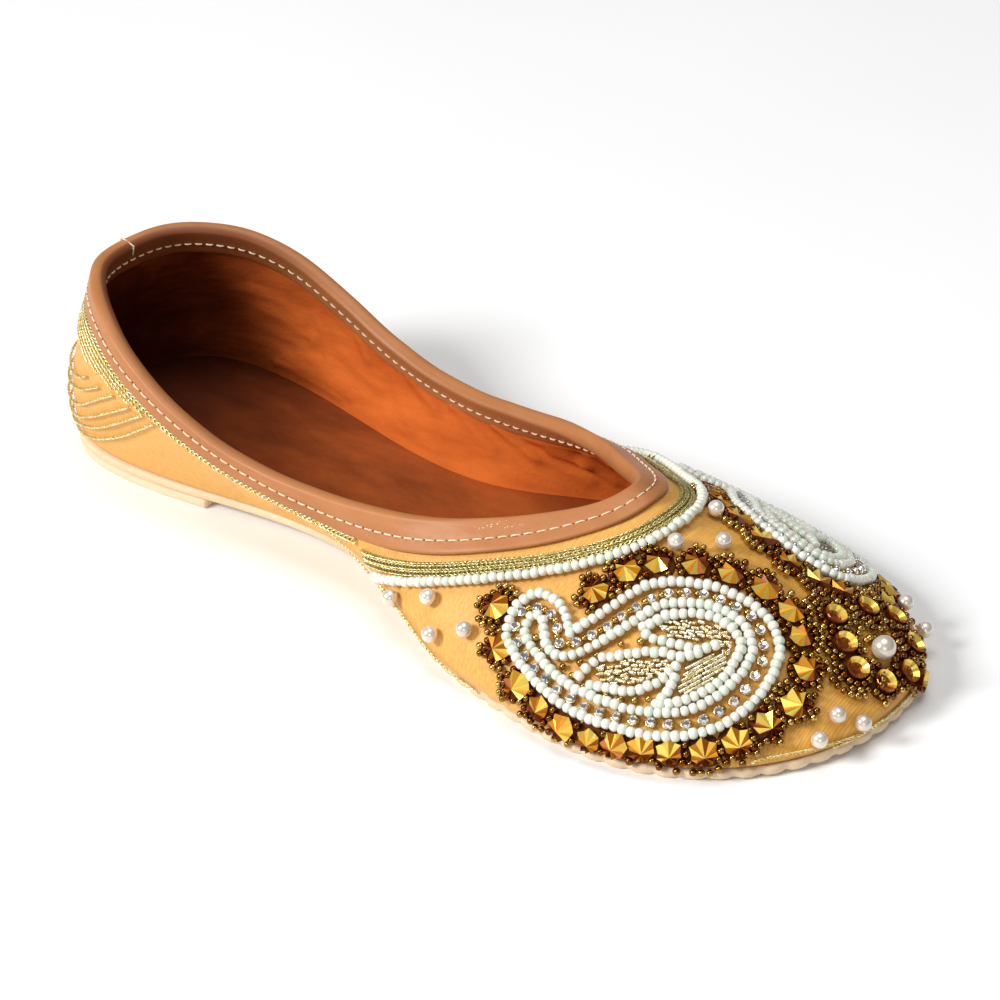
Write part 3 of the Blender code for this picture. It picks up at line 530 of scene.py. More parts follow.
def make_piece(name, parts, finish, replaced=(), smooth_shade=True, uv=None, merge=False):
    """One object from parts of points, faces and tones, joined as whole arrays."""
    starts = np.cumsum([0] + [len(points) for points, _, _ in parts])
    points = np.concatenate([points for points, _, _ in parts]) - SHIFT
    faces = [f + start for (_, group, _), start in zip(parts, starts) for f in group]
    tones = [tone for _, _, group in parts for tone in group]
    corners = np.concatenate([f.ravel() for f in faces])
    counts = np.concatenate([np.full(len(f), f.shape[1]) for f in faces])
    mesh = bpy.data.meshes.new(name)
    mesh.vertices.add(len(points))
    mesh.vertices.foreach_set("co", points.ravel())
    mesh.loops.add(len(corners))
    mesh.loops.foreach_set("vertex_index", corners.astype(np.int32))
    mesh.polygons.add(len(counts))
    mesh.polygons.foreach_set("loop_start", (np.cumsum(counts) - counts).astype(np.int32))
    mesh.update(calc_edges=True)
    tone = mesh.attributes.new("tone", "FLOAT", "FACE")
    tone.data.foreach_set("value", np.concatenate(tones).astype(np.float32))
    if uv is not None:
        layer = mesh.uv_layers.new(name="cloth")
        layer.data.foreach_set("uv", np.asarray(uv, np.float32).ravel())
    tidy = bmesh.new()
    tidy.from_mesh(mesh)
    if merge:
        bmesh.ops.remove_doubles(tidy, verts=tidy.verts, dist=2e-6)
    bmesh.ops.recalc_face_normals(tidy, faces=tidy.faces)
    tidy.to_mesh(mesh)
    tidy.free()
    if smooth_shade:
        mesh.shade_smooth()
    else:
        mesh.shade_flat()
    mesh.materials.append(finish)
    piece = bpy.data.objects.new(name, mesh)
    bpy.context.scene.collection.objects.link(piece)
    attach(piece, "root")
    if replaced:
        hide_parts(*replaced)
    return piece


def outward_at(t, w):
    """Unit normal of the face."""
    along, upward = slopes(t, w)
    return unit(np.cross(along, upward))


def evenly(t, w, step):
    """Places along a line on the face, about a step of length apart."""
    run = np.linalg.norm(np.diff(face(t, w), axis=0), axis=1)
    run = np.concatenate([[0.0], np.cumsum(run)])
    even = np.linspace(0.0, run[-1], max(2, int(round(run[-1] / step)) + 1))
    return np.interp(even, run, t), np.interp(even, run, w)


def flowing(points, closed, step):
    """Catmull-Rom curve through the points, a step apart: each span leaves a point along the
    line between its two neighbours."""
    points = np.asarray(points, float)
    if closed:
        ring = np.concatenate([points[-1:], points, points[:2]])
    else:
        ring = np.concatenate([2 * points[:1] - points[1:2], points, 2 * points[-1:] - points[-2:-1]])
    a, b, c, d = ring[:-3], ring[1:-2], ring[2:-1], ring[3:]
    s = np.linspace(0.0, 1.0, 16, endpoint=False)[:, None, None]
    curve = b + 0.5 * (s * (c - a) + s ** 2 * (2 * a - 5 * b + 4 * c - d)
                       + s ** 3 * (3 * b - 3 * c + d - a))
    curve = curve.swapaxes(0, 1).reshape(-1, points.shape[1])
    curve = np.concatenate([curve, points[:1] if closed else points[-1:]])
    run = np.concatenate([[0.0], np.cumsum(np.linalg.norm(np.diff(curve, axis=0), axis=1))])
    count = max(2, int(round(run[-1] / step)))
    even = np.linspace(0.0, run[-1], count, endpoint=False) if closed else np.linspace(0.0, run[-1], count + 1)
    return np.stack([np.interp(even, run, curve[:, k]) for k in range(points.shape[1])], axis=-1)


def along_line(centre, closed=False):
    """Unit direction of a line at each of its points."""
    if closed:
        return unit(np.roll(centre, -1, axis=0) - np.roll(centre, 1, axis=0))
    return unit(np.gradient(centre, axis=0))


def tube(centre, out, radius, sides=5, closed=False):
    """Round thread along a line: centre + radius (cos a across + sin a off the face)."""
    ahead = along_line(centre, closed)
    side = unit(np.cross(ahead, out))
    up = np.cross(side, ahead)
    turn = (np.arange(sides) * 2 * math.pi / sides)[None, :, None]
    radius = np.broadcast_to(radius, len(centre))[:, None, None]
    ring = centre[:, None] + radius * (np.cos(turn) * side[:, None] + np.sin(turn) * up[:, None])
    return grid(ring, closed, True, caps=not closed)


def twisted(centre, out, reach, radius, pitch, strands, hand):
    """Strands wound round a line: strand k is the line + reach (cos a across + sin a out), with
    a = 2 pi (run / pitch + k / strands)."""
    run = np.concatenate([[0.0], np.cumsum(np.linalg.norm(np.diff(centre, axis=0), axis=1))])
    ahead = along_line(centre)
    side = unit(np.cross(ahead, out))
    up = np.cross(side, ahead)
    parts = []
    for strand in range(strands):
        turn = 2 * math.pi * (hand * run / pitch + strand / strands)[:, None]
        parts.append(tube(centre + reach * (np.cos(turn) * side + np.sin(turn) * up), out, radius))
    return parts


def zari_cord(t, w, width=ZARI_CORD, hand=1):
    """Two-ply gold cord couched on the face."""
    pitch = 2.8 * width
    t, w = evenly(t, w, pitch / 8)
    out = outward_at(t, w)
    centre = face(t, w) + out * (FIT + width / 2)
    return twisted(centre, out, width * 0.25, width * 0.19, pitch, 2, hand)


def seed_bead(around, across, length, outer, fullness=0.7):
    """Bead along x: x = half length sin b / sin 70, radius = half width (cos b) ^ fullness, for b
    from -70 to 70 degrees."""
    b = np.radians(np.linspace(-70.0, 70.0, across))[:, None]
    a = (np.arange(around) * 2 * math.pi / around)[None]
    radius = outer / 2 * np.cos(b) ** fullness
    x = length / 2 * np.sin(b) / math.sin(math.radians(70.0))
    points = np.broadcast_arrays(x, radius * np.cos(a), radius * np.sin(a))
    return grid(np.stack(points, axis=-1), False, True, caps=True)


def wire_ring(around, across, height, outer, inner):
    """Thick ring round x: x = half height sin b, radius = middle + half wall cos b."""
    b = (np.arange(across) * 2 * math.pi / across)[:, None]
    a = (np.arange(around) * 2 * math.pi / around)[None]
    radius = (outer + inner) / 4 + (outer - inner) / 4 * np.cos(b)
    points = np.broadcast_arrays(height / 2 * np.sin(b), radius * np.cos(a), radius * np.sin(a))
    return grid(np.stack(points, axis=-1), True, True)


def pearl_ball(around, across):
    """Ball of unit diameter: x, y = sin b cos a, sin b sin a; z = cos b, with small end faces."""
    b = np.linspace(0.06, math.pi - 0.06, across)[:, None]
    a = (np.arange(around) * 2 * math.pi / around)[None]
    points = np.stack(np.broadcast_arrays(np.sin(b) * np.cos(a), np.sin(b) * np.sin(a), np.cos(b)), axis=-1) / 2
    return grid(points, False, True, caps=True)


WHITE_SHAPE = seed_bead(10, 7, WHITE_PITCH * 0.98, WHITE_BEAD, 0.47)
BRONZE_SHAPE = seed_bead(9, 5, BRONZE_BEAD * 0.86, BRONZE_BEAD, 0.55)


def string_beads(t, w, shape, diameter, closed=False, spread=0.06):
    """Beads touching along a line of places on the face, each a little different in size and a
    little out of line."""
    out = outward_at(t, w)
    centre = face(t, w) + out * (FIT + diameter / 2)
    ahead = along_line(centre, closed)
    across = np.cross(out, ahead)
    centre = centre + across * (0.0001 * random.standard_normal((len(t), 1)).clip(-1.5, 1.5))
    ahead = unit(ahead + across * 0.10 * random.standard_normal((len(t), 1)).clip(-1.5, 1.5))
    out = unit(out - ahead * (out * ahead).sum(-1, keepdims=True))
    size = 1.0 + spread * random.standard_normal(len(t)).clip(-1.5, 1.2)
    return copies(shape, centre, ahead, out, size, random.random(len(t)))


def chart_places(points, side):
    """Places on the face of chart points in millimetres, on the outer (-1) or inner (1) side."""
    points = np.asarray(points) * MM
    t, w = from_chart(CHART_AT, points[:, 0], points[:, 1])
    return mirrored(t, side), w


def inside(points, outline):
    """Which points lie inside a closed outline, by counting the edges that each one is left of."""
    a = np.asarray(outline)
    b = np.roll(a, -1, axis=0)
    x, y = points[:, :1], points[:, 1:]
    spans = (a[:, 1] > y) != (b[:, 1] > y)
    rise = np.where(b[:, 1] == a[:, 1], 1e-9, b[:, 1] - a[:, 1])
    return ((spans & (x < a[:, 0] + (y - a[:, 1]) * (b[:, 0] - a[:, 0]) / rise)).sum(-1) % 2) == 1


def crease_height(points, creases, depth):
    """Soft troughs and ridges: each is height exp(-(distance to its line / half width) squared)."""
    total = np.zeros(points.shape[:-1])
    for t0, w0, t1, w1, width, height in creases:
        s = np.linspace(0.0, 1.0, 9)
        line = raised(t0 + (t1 - t0) * s, w0 + (w1 - w0) * s, depth)
        near = np.min([((points - p) ** 2).sum(-1) for p in line[:-1] * 0.5 + line[1:] * 0.5]
                      + [((points - p) ** 2).sum(-1) for p in line], axis=0)
        total += height * MM * np.exp(-near / (width * MM) ** 2)
    return total


def wall_places():
    """Stations round the wall and levels up it, close enough for the creases."""
    t = np.linspace(0.0, 2.0, 432, endpoint=False)
    return t, 0.5 - 0.5 * np.cos(np.linspace(0.0, math.pi, 37))


def cloth_uv(t, points):
    """Cloth coordinates in metres: along the shoe and across it on the vamp, turned on the bias
    on the quarters."""
    x, y, z = np.moveaxis(points, -1, 0)
    far_side = np.where(t < 1.0, -1.0, 1.0)
    vamp = np.stack([x, y - far_side * z * smooth(np.abs(y) / 0.020)], axis=-1)
    bias = math.radians(48.0)
    quarter = np.stack([x * math.sin(bias) + z * math.cos(bias),
                        z * math.sin(bias) - x * math.cos(bias)], axis=-1)
    return vamp, quarter


def make_silk(finish):
    """Silk layer of the upper: the face with its creases outside, one even thickness."""
    t, w = wall_places()
    flat = raised(t[:, None], w[None], 0.0)
    crease = crease_height(flat, OUTER_CREASES, 0.0)
    fade = smooth(np.minimum(w, 1.0 - w) / 0.12)[None]
    outside = raised(t[:, None], w[None], crease * fade)
    inside_wall = raised(t[:, None], w[None, ::-1], -SILK_DEPTH + 0.00005)
    points = np.concatenate([outside, inside_wall], axis=1)
    part = grid(points, True, True)
    vamp, quarter = cloth_uv(np.broadcast_to(t[:, None], points.shape[:2]), points)
    corners = part[1][0].ravel()
    station = np.repeat(np.arange(len(t)), points.shape[1] * 4).reshape(-1)
    on_vamp = np.abs(t[station] - 1.0) < 1.0 - SEAM_AT
    uv = np.where(on_vamp[:, None], vamp.reshape(-1, 2)[corners], quarter.reshape(-1, 2)[corners])
    make_piece("upper_silk", [part], finish, ["upper"], uv=uv)


def make_lining(finish):
    """Leather lining behind the silk, with the wrinkles that show through the opening."""
    t, w = wall_places()
    base = raised(t[:, None], w[None, ::-1], -WALL)
    crease = crease_height(base, LINING_CREASES, -WALL)
    fade = smooth(np.minimum(w[::-1], 0.84 - w[::-1]) / 0.14)[None]
    back = raised(t[:, None], w[None], -SILK_DEPTH)
    front = raised(t[:, None], w[None, ::-1], -WALL - 0.0004 * fade + np.minimum(crease, 0.0007) * fade)
    part = grid(np.concatenate([back, front], axis=1), True, True)
    # Painted shade: the lining is coloured darker where it narrows into the throat
    throat = 0.8 * smooth((0.24 - np.abs(t - 1.0)) / 0.16)
    part[2][0] = np.repeat(throat, 2 * len(w))
    make_piece("lining_leather", [part], finish, ["upper"])


def binding_leg(t):
    return spline_at(*SECTION_SPLINE, t)[..., 13]


def make_binding(finish):
    """Folded strip with rounded hems, drawn in along its stitches. Over the collar it is half an
    oval: down = -height cos a, out = middle + half wall sin a."""
    t = np.linspace(0.0, 2.0, 640, endpoint=False)[:, None]
    leg = binding_leg(t)
    one = np.ones_like(leg)
    near, far = FIT * 0.4, FIT + BINDING_THICK
    middle, hem_high = (near + far) / 2, (far - near) / 2
    hem = np.linspace(0.0, math.pi, 5)[None, 1:-1]
    roll = np.linspace(math.pi / 2, -math.pi / 2, 13)[None, 1:-1]
    inner = BINDING_INNER_LEG
    half = far + WALL / 2
    rows = (
        (leg + hem_high * np.sin(hem), middle - hem_high * np.cos(hem)),
        (leg * np.linspace(1.0, 0.0, 12), far),
        (-far * np.cos(roll), -WALL / 2 + half * np.sin(roll)),
        (inner * np.linspace(0.0, 1.0, 8)[None], -WALL - far),
        (inner + hem_high * np.sin(hem), -WALL - middle - hem_high * np.cos(hem)),
        (np.array([[inner, inner * 0.5, -near]]), -WALL - near),
        (leg * np.array([[0.0, 0.5, 1.0]]) - np.array([[near, 0.0, 0.0]]), near),
    )
    down = np.concatenate([d * one for d, _ in rows], axis=1)
    out = np.concatenate([np.broadcast_to(o, (d * one).shape) for d, o in rows], axis=1)
    path = face(t[:, 0], 0.97)
    run = np.concatenate([[0.0], np.cumsum(np.linalg.norm(np.diff(path, axis=0), axis=1))])[:, None]
    pucker = 0.5 - 0.5 * np.cos(2 * math.pi * run / STITCH_PITCH)
    groove = np.exp(-((down - (leg - STITCH_ABOVE)) / 0.0008) ** 2)
    ripple = np.sin(2 * math.pi * run / 0.031) * np.sin(2 * math.pi * run / 0.047)
    shown = (out > far * 0.9) & (down > 0)
    out = out - np.where(shown, 0.00022 * groove * (0.4 + 0.6 * pucker), 0.0) + 0.00010 * ripple
    part = grid(below_collar(t, down, out), True, True)
    # Painted shade: darker inside the shoe, and darkest round the heel
    within = smooth((-out - WALL * 0.3) / 0.0012)
    heel = 0.15 + 0.85 * smooth((0.30 - np.minimum(t, 2.0 - t)) / 0.20)
    part[2][0] = (within * heel).ravel()
    make_piece("collar_binding_leather", [part], finish, ["collar_binding"])


def make_stitches(finish):
    """Cream stitches on both legs of the binding: short bowed threads with sunk ends."""
    t = np.linspace(0.0, 2.0, 2401)
    s = np.linspace(-1.0, 1.0, 9)
    sink = s ** 4
    parts = []
    for outside in (True, False):
        pitch, length = (STITCH_PITCH, STITCH_LENGTH) if outside else (INNER_STITCH_PITCH, INNER_STITCH_LENGTH)
        down = binding_leg(t) - STITCH_ABOVE if outside else np.full_like(t, BINDING_INNER_LEG - INNER_STITCH_ABOVE)
        w = level_at(t, down)
        per_metre = np.gradient(t) / np.linalg.norm(np.gradient(face(t, w), axis=0), axis=1)
        for mid_t in evenly(t, w, pitch)[0][:-1]:
            line_t = mid_t + s * length / 2 * np.interp(mid_t, t, per_metre)
            line_w = np.interp(line_t, t, w)
            lift = FIT + BINDING_THICK + STITCH_THREAD * (0.40 - 0.75 * sink) - 0.00015
            line = raised(line_t, line_w, lift if outside else -WALL - lift - 0.00015)
            thread = STITCH_THREAD / 2 * (1.0 - 0.25 * sink)
            parts.append(tube(line, outward_at(line_t, line_w), thread, 6))
    s = np.linspace(-0.0046, 0.0030, 20)
    over = below_collar(np.full_like(s, BINDING_JOIN), np.abs(s) - 0.0012, np.where(s < 0, 0.0014, -WALL - 0.0014))
    parts.append(tube(over, np.tile([0.0, 1.0, 0.0], (len(s), 1)), STITCH_THREAD / 2, 6))
    make_piece("binding_stitches", parts, finish)


def make_needle_holes(finish):
    """Needle holes between the outer stitches: the tops of balls sunk in the leather, coloured with the binding's
    painted shade.
    """
    t = np.linspace(0.0, 2.0, 2401)
    w = level_at(t, binding_leg(t) - STITCH_ABOVE)
    middles = evenly(t, w, STITCH_PITCH)[0]
    hole_t = (middles[:-1] + middles[1:]) / 2
    hole_w = np.interp(hole_t, t, w)
    centre = raised(hole_t, hole_w, FIT + BINDING_THICK - NEEDLE_HOLE * 0.44)
    ahead = unit(slopes(hole_t, hole_w)[0])
    up = outward_at(hole_t, hole_w)
    holes = copies(pearl_ball(8, 5), centre, ahead, up, NEEDLE_HOLE, np.ones(len(hole_t)))
    make_piece("binding_needle_holes", [holes], finish)


def slab_part(line, low, high, edge_rows, rings=7):
    """Closed slab from a plan line: the underside from its middle line out, the edge rows of
    inset and height share, and the top back in to the middle line."""
    x = line[:, 0]
    reach = 0.030
    spine = np.stack([np.clip(x, x.min() + reach, x.max() - reach), np.interp(x, [-0.12, 0.0, 0.12], [0, 0.0005, 0.003])], axis=-1)
    shares = np.linspace(1.0, 0.06, rings)
    inward_line = unit(line - spine)
    rows = []
    for share in shares:
        rows.append((line + (spine - line) * share, 0.0))
    for inset, height in edge_rows:
        rows.append((line - inward_line * inset, height))
    for share in shares[::-1]:
        rows.append((line + (spine - line) * share, 1.0))
    points = []
    for plan, height in rows:
        bottom, top = low(plan), high(plan)
        points.append(np.column_stack([plan, bottom + (top - bottom) * height]))
    return grid(np.stack(points, axis=1), True, False)


def sole_plan(count, extra=0.0):
    """Plan line of the sole's edge at fine stations, moved out by a distance."""
    t = np.linspace(0.0, 2.0, count, endpoint=False)
    foot = face(t, 0.0)
    ahead = face(t + 1e-3, 0.0) - face(t - 1e-3, 0.0)
    outward = unit(np.stack([ahead[:, 1], -ahead[:, 0]], axis=-1))
    edge = spline_at(*SECTION_SPLINE, t)[:, 12]
    return t, foot[:, :2] + outward * (edge + extra)[:, None]


def make_outsole(finish):
    """Leather sole: flat tread, rounded edge, and low waves where the whip stitches draw it in."""
    t, line = sole_plan(720)
    run = np.concatenate([[0.0], np.cumsum(np.linalg.norm(np.diff(line, axis=0), axis=1))])
    front = smooth((line[:, 0] + 0.030) / 0.030)
    # The vamp bulges over the edge where the foot's ball lies
    under = -0.0010 * np.exp(-((line[:, 0] - 0.022) / 0.034) ** 2)
    wave = under - WHIP_DEPTH * front * (0.5 - 0.5 * np.cos(2 * math.pi * run / WHIP_PITCH)) ** 3
    _, line = sole_plan(720, wave)
    rows = ((0.0005, 0.0), (0.0002, 0.12), (0.0, 0.3), (0.0, 0.72), (0.0002, 0.92), (0.0005, 1.0))
    low = lambda plan: sole_bottom(plan[:, 0])
    high = lambda plan: sole_bottom(plan[:, 0]) + SOLE_THICK
    make_piece("outsole_leather", [slab_part(line, low, high, rows)], finish, ["outsole"], merge=True)


def make_insole(finish):
    """Sock of brown leather with a soft edge, pressed close against the lining."""
    t, _ = sole_plan(480)
    line = raised(t, np.full_like(t, 0.030), -WALL + 0.0003)[:, :2]
    low = lambda plan: sole_top(plan[:, 0]) + FIT
    high = lambda plan: sole_top(plan[:, 0]) + FIT + INSOLE_THICK
    rows = ((0.0002, 0.0), (0.0, 0.4), (0.0002, 0.8), (0.0006, 1.0))
    make_piece("insole_sock", [slab_part(line, low, high, rows)], finish, ["insole"], merge=True)


def make_heel_lift(finish):
    """Cream lift under the heel with a straight breast and softened edges."""
    t, line = sole_plan(720)
    breast = BREAST_AT * LAST_LENGTH
    keep = line[:, 0] < breast
    half = np.nonzero(keep)[0]
    outer = line[half[half < 360]]
    inner = line[half[half >= 360]]
    s = np.linspace(0.0, 1.0, 40)[1:-1, None]
    across = outer[-1] * (1 - s) + inner[0] * s
    plan = np.concatenate([outer, across, inner])
    middle = np.array([plan[:, 0].mean() * 0 - 0.088, 0.0])
    rings = [0.06, 0.25, 0.5, 0.75]
    inward_line = unit(plan - middle)
    rows = [(middle + (plan - middle) * r, 0.0) for r in rings]
    rows += [(plan - inward_line * inset, z) for inset, z in (
        (0.0006, 0.0), (0.0003, 0.00015), (0.0001, 0.0005), (0.0, 0.0010), (0.0, 0.0018), (0.0002, HEEL_LIFT))]
    rows += [(middle + (plan - middle) * r, HEEL_LIFT) for r in rings[::-1]]
    points = np.stack([np.column_stack([p, np.full(len(p), z)]) for p, z in rows], axis=1)
    part = grid(points, True, False)
    count, columns = points.shape[:2]
    index = np.arange(count * columns).reshape(count, columns)
    part[1].append(index[::-1, 0][None])
    part[1].append(index[:, -1][None])
    part[2].extend([np.zeros(1), np.zeros(1)])
    make_piece("heel_lift_leather", [part], finish, ["heel_lift"])


def make_quarter_braid(finish):
    """Two gold cords side by side under the binding, wound opposite ways like one chain."""
    t = np.linspace(2.0 - SEAM_AT + 0.004, 2.0 + SEAM_AT - 0.004, 600)
    parts = []
    for offset, hand in ((-0.5, 1), (0.5, -1)):
        down = binding_leg(t) + FIT + QUARTER_BRAID_WIDTH * 0.5 + offset * ZARI_CORD
        parts += zari_cord(t, level_at(t, down), ZARI_CORD, hand)
    make_piece("quarter_zari", parts, finish, ["quarter_braid"])


def make_throat_braid(finish):
    """Five gold cords side by side round the throat, wound by turns to the left and right."""
    t = np.linspace(SEAM_AT, 2.0 - SEAM_AT, 600)
    parts = []
    width = THROAT_BRAID_WIDTH / 5
    for row in range(5):
        down = THROAT_BRAID_DOWN + (row - 2.0) * width
        parts += zari_cord(t, level_at(t, np.full_like(t, down)), width * 1.12, 1 if row % 2 else -1)
    make_piece("throat_zari", parts, finish, ["throat_braid"])


def make_throat_beads(finish):
    """White seed beads threaded close together under the braid."""
    t = np.linspace(BEAD_ROW_FROM, 2.0 - BEAD_ROW_FROM, 500)
    w = level_at(t, np.full_like(t, BEAD_ROW_DOWN))
    t, w = evenly(t, w, WHITE_PITCH)
    make_piece("throat_seed_beads", [string_beads(t, w, WHITE_SHAPE, WHITE_BEAD)], finish, ["throat_beads"])


def make_paisley_beads(name, side, replaced, finish):
    """The paisley's rows of white seed beads."""
    parts = []
    for row, closed in [(OUTLINE_ROW, True), (SECOND_ROW, True)] + [(row, False) for row in OPEN_ROWS]:
        t, w = chart_places(flowing(row, closed, WHITE_PITCH / MM), side)
        parts.append(string_beads(t, w, WHITE_SHAPE, WHITE_BEAD, closed))
    make_piece(name, parts, finish, [replaced])


def stone_shape():
    """Cut stone of unit diameter: a small table, two rows of crown facets and a girdle."""
    a = np.arange(8) * math.pi / 4
    rows = ((0.84, 0.0, 0.0), (1.0, 0.28, 0.0), (1.0, 0.36, 0.0), (0.74, 0.58, 0.39), (0.40, 0.72, 0.0))
    points = [np.column_stack([r / 2 * np.cos(a + c), r / 2 * np.sin(a + c), np.full(8, z)]) for r, z, c in rows]
    return grid(np.stack(points), False, True, caps=True)


def make_stones(name, side, finish):
    """Ring of rhinestones, each in a small gold cup, with a gold bead between neighbours."""
    spots = flowing(STONE_ROW, True, STONE_PITCH / MM)
    t, w = chart_places(spots, side)
    out = outward_at(t, w)
    turn = random.random(len(t)) * 2 * math.pi
    ahead = along_line(face(t, w), True)
    ahead = unit(ahead - out * (ahead * out).sum(-1, keepdims=True))
    across = np.cross(out, ahead)
    turned = ahead * np.cos(turn)[:, None] + across * np.sin(turn)[:, None]
    centre = face(t, w) + out * (FIT + 0.0006)
    stones = copies(stone_shape(), centre, turned, out, STONE, random.random(len(t)))
    make_piece(name, [stones], finish, smooth_shade=False)
    cup = wire_ring(12, 5, 0.0008, STONE * 1.22, STONE * 0.86)
    cups = copies(cup, face(t, w) + out * (FIT + 0.0007), out, ahead, 1.0, random.random(len(t)))
    between = flowing(STONE_ROW, True, STONE_PITCH / MM / 2)[1::2]
    bt, bw = chart_places(between, side)
    return cups, (bt, bw)


def coil_part(start, end, side, height):
    """Bullion wire between two chart points: a tube whose radius swells once for each turn."""
    length = np.linalg.norm(end - start)
    count = max(4, int(length / (COIL_TURN / MM / 3)))
    s = np.linspace(0.0, 1.0, count)[:, None]
    t, w = chart_places(start + (end - start) * s, side)
    out = outward_at(t, w)
    run = s[:, 0] * length * MM
    ridge = 1.0 + 0.13 * np.cos(2 * math.pi * run / COIL_TURN)
    ridge[[0, -1]] *= 0.55
    centre = face(t, w) + out * (FIT + COIL / 2 + height)
    return tube(centre, out, COIL / 2 * ridge, 6)


def make_leaves(name, side, finish):
    """Three leaves filled with cut bullion coils, laid side by side across each leaf."""
    parts = []
    for outline, (lay, longest) in zip(LEAVES, LEAF_LAY):
        angle = math.radians(lay)
        turn = np.array([[math.cos(angle), math.sin(angle)], [-math.sin(angle), math.cos(angle)]])
        shape = flowing(outline, True, 0.3)
        turned = shape @ turn.T
        for level in np.arange(turned[:, 1].min() + 0.5, turned[:, 1].max() - 0.2, COIL / MM * 0.94):
            nxt = np.roll(turned, -1, axis=0)
            crossing = (turned[:, 1] - level) * (nxt[:, 1] - level) < 0
            a, b = turned[crossing], nxt[crossing]
            cuts = np.sort(a[:, 0] + (level - a[:, 1]) * (b[:, 0] - a[:, 0]) / (b[:, 1] - a[:, 1]))
            for low, high in zip(cuts[::2], cuts[1::2]):
                number = max(1, int(math.ceil((high - low) / longest)))
                ends = np.linspace(low + 0.15, high - 0.15, number + 1)
                for first, last in zip(ends[:-1], ends[1:]):
                    if last - first < 0.7:
                        continue
                    tilt = random.normal(0.0, 0.30 if longest < 5 else 0.04, 2).clip(-0.5, 0.5)
                    first_point = np.array([first + 0.08, level + tilt[0]]) @ turn
                    last_point = np.array([last - 0.08, level + tilt[1]]) @ turn
                    parts.append(coil_part(first_point, last_point, side, abs(tilt[0]) * MM))
    make_piece(name, parts, finish)


def floret_shape():
    """Pleated foil fan of unit reach. Its apex lies off the middle; rim points turn by turn are
    high and far, low and near, and each pair of facets runs to the apex."""
    count = FLORET_FACETS
    a = np.arange(count) * 2 * math.pi / count
    ridge = np.arange(count) % 2 == 0
    reach = APEX * np.cos(a) + np.sqrt(1.0 - (APEX * np.sin(a)) ** 2)
    reach = reach * np.where(ridge, 1.0, 0.82)
    rim = np.column_stack([reach * np.cos(a) - APEX, reach * np.sin(a), np.where(ridge, 0.42, 0.16)])
    foot = np.column_stack([rim[:, 0] * 0.8, rim[:, 1] * 0.8, np.zeros(count)])
    apex = np.array([[-APEX, 0.0, 0.42]])
    points = np.concatenate([foot, rim, apex])
    index = np.arange(count)
    nxt = (index + 1) % count
    skirt = np.stack([index, nxt, count + nxt, count + index], axis=-1)
    facets = np.stack([count + index, count + nxt, np.full(count, 2 * count)], axis=-1)
    faces = [skirt, facets, index[::-1][None]]
    return points, faces, [np.zeros(len(f)) for f in faces]


def painted_foil_light(count):
    """Painted highlight and shade of each facet: bright where the fan opens towards the paisley, dark
    behind, one flank of each pleat lighter, and a little tone by chance."""
    a = (np.arange(FLORET_FACETS) + 0.5) * 2 * math.pi / FLORET_FACETS
    flank = np.where(np.arange(FLORET_FACETS) % 2 == 0, 0.17, -0.15)
    return 0.29 + 0.44 * np.cos(a) + flank + 0.18 * random.standard_normal((count, FLORET_FACETS))


def local_axes(t, w, turn):
    """Direction along the face turned by an angle, and the normal."""
    out = outward_at(t, w)
    ahead = unit(np.array([1.0, 0.0, 0.0]) - out * out[:, :1])
    across = np.cross(out, ahead)
    return ahead * np.cos(turn)[:, None] + across * np.sin(turn)[:, None], out


def make_florets(name, places, side, replaced, finish):
    """Pleated foil florets sewn round the paisley, each opening towards its outer row."""
    t, w = np.array(places).T
    row = face(*chart_places(flowing(OUTLINE_ROW, True, 1.0), side))
    spots = face(t, w)
    nearest = row[np.linalg.norm(spots[:, None] - row[None], axis=-1).argmin(axis=1)]
    out = outward_at(t, w)
    ahead = nearest - spots
    ahead = unit(ahead - out * (ahead * out).sum(-1, keepdims=True))
    across = np.cross(out, ahead)
    swing = 0.22 * random.standard_normal((len(t), 1))
    ahead = unit(ahead + across * swing)
    size = FLORET_RADIUS * (1 + 0.07 * random.standard_normal(len(t)).clip(-1.5, 1.5))
    part = copies(floret_shape(), spots + out * (FIT + 0.0003), ahead, out, size, np.full(len(t), 0.2))
    # Painted highlight and shade on the facets
    part[2][1] = painted_foil_light(len(t)).ravel()
    make_piece(name, [part], finish, [replaced], smooth_shade=False)


def chart_offsets(t, w, side):
    """Chart millimetres of places on the face."""
    origin, ahead, across = chart_frame(CHART_AT)
    offset = face(mirrored(t, side), w) - origin
    return np.stack([offset @ ahead, offset @ across], axis=-1) / MM


def make_ground(name, places, side, finish):
    """Dark brown pad under the florets, partly a brown ground and partly painted shade among the dense
    beads: a low round pad for each, dipping under the paisley's outer row."""
    around = np.arange(24) * 2 * math.pi / 24
    rings = np.array([0.12, 0.5, 0.85, 1.0])
    lift = np.array([0.00050, 0.00048, 0.00036, -0.00010])
    row = flowing(OUTLINE_ROW, True, 1.0)
    parts = []
    for t0, w0 in places:
        ahead, _ = local_axes(np.full(24, t0), np.full(24, w0), around)
        t, w = np.full(24, t0), np.full(24, w0)
        last, heights, spots = 0.0, [], []
        for ring, high in zip(rings, lift):
            for _ in range(2):
                t, w = walk(t, w, ahead, (ring - last) * GROUND_REACH / 2)
            last = ring
            w = np.clip(w, 0.004, 1.0)
            spots.append(raised(t, w, np.where(inside(chart_offsets(t, w, side), row), -0.0003, high)))
        parts.append(grid(np.stack(spots + [raised(t, w, -0.0004)]), False, True, caps=True))
    make_piece(name, parts, finish)


def clear_of(places, others, gap):
    """The places that are further than a gap from all the others."""
    spots = face(*np.array(places).T)
    rest = face(*np.array(others).T)
    near = np.linalg.norm(spots[:, None] - rest[None], axis=-1).min(axis=1)
    return [place for place, distance in zip(places, near) if distance > gap]


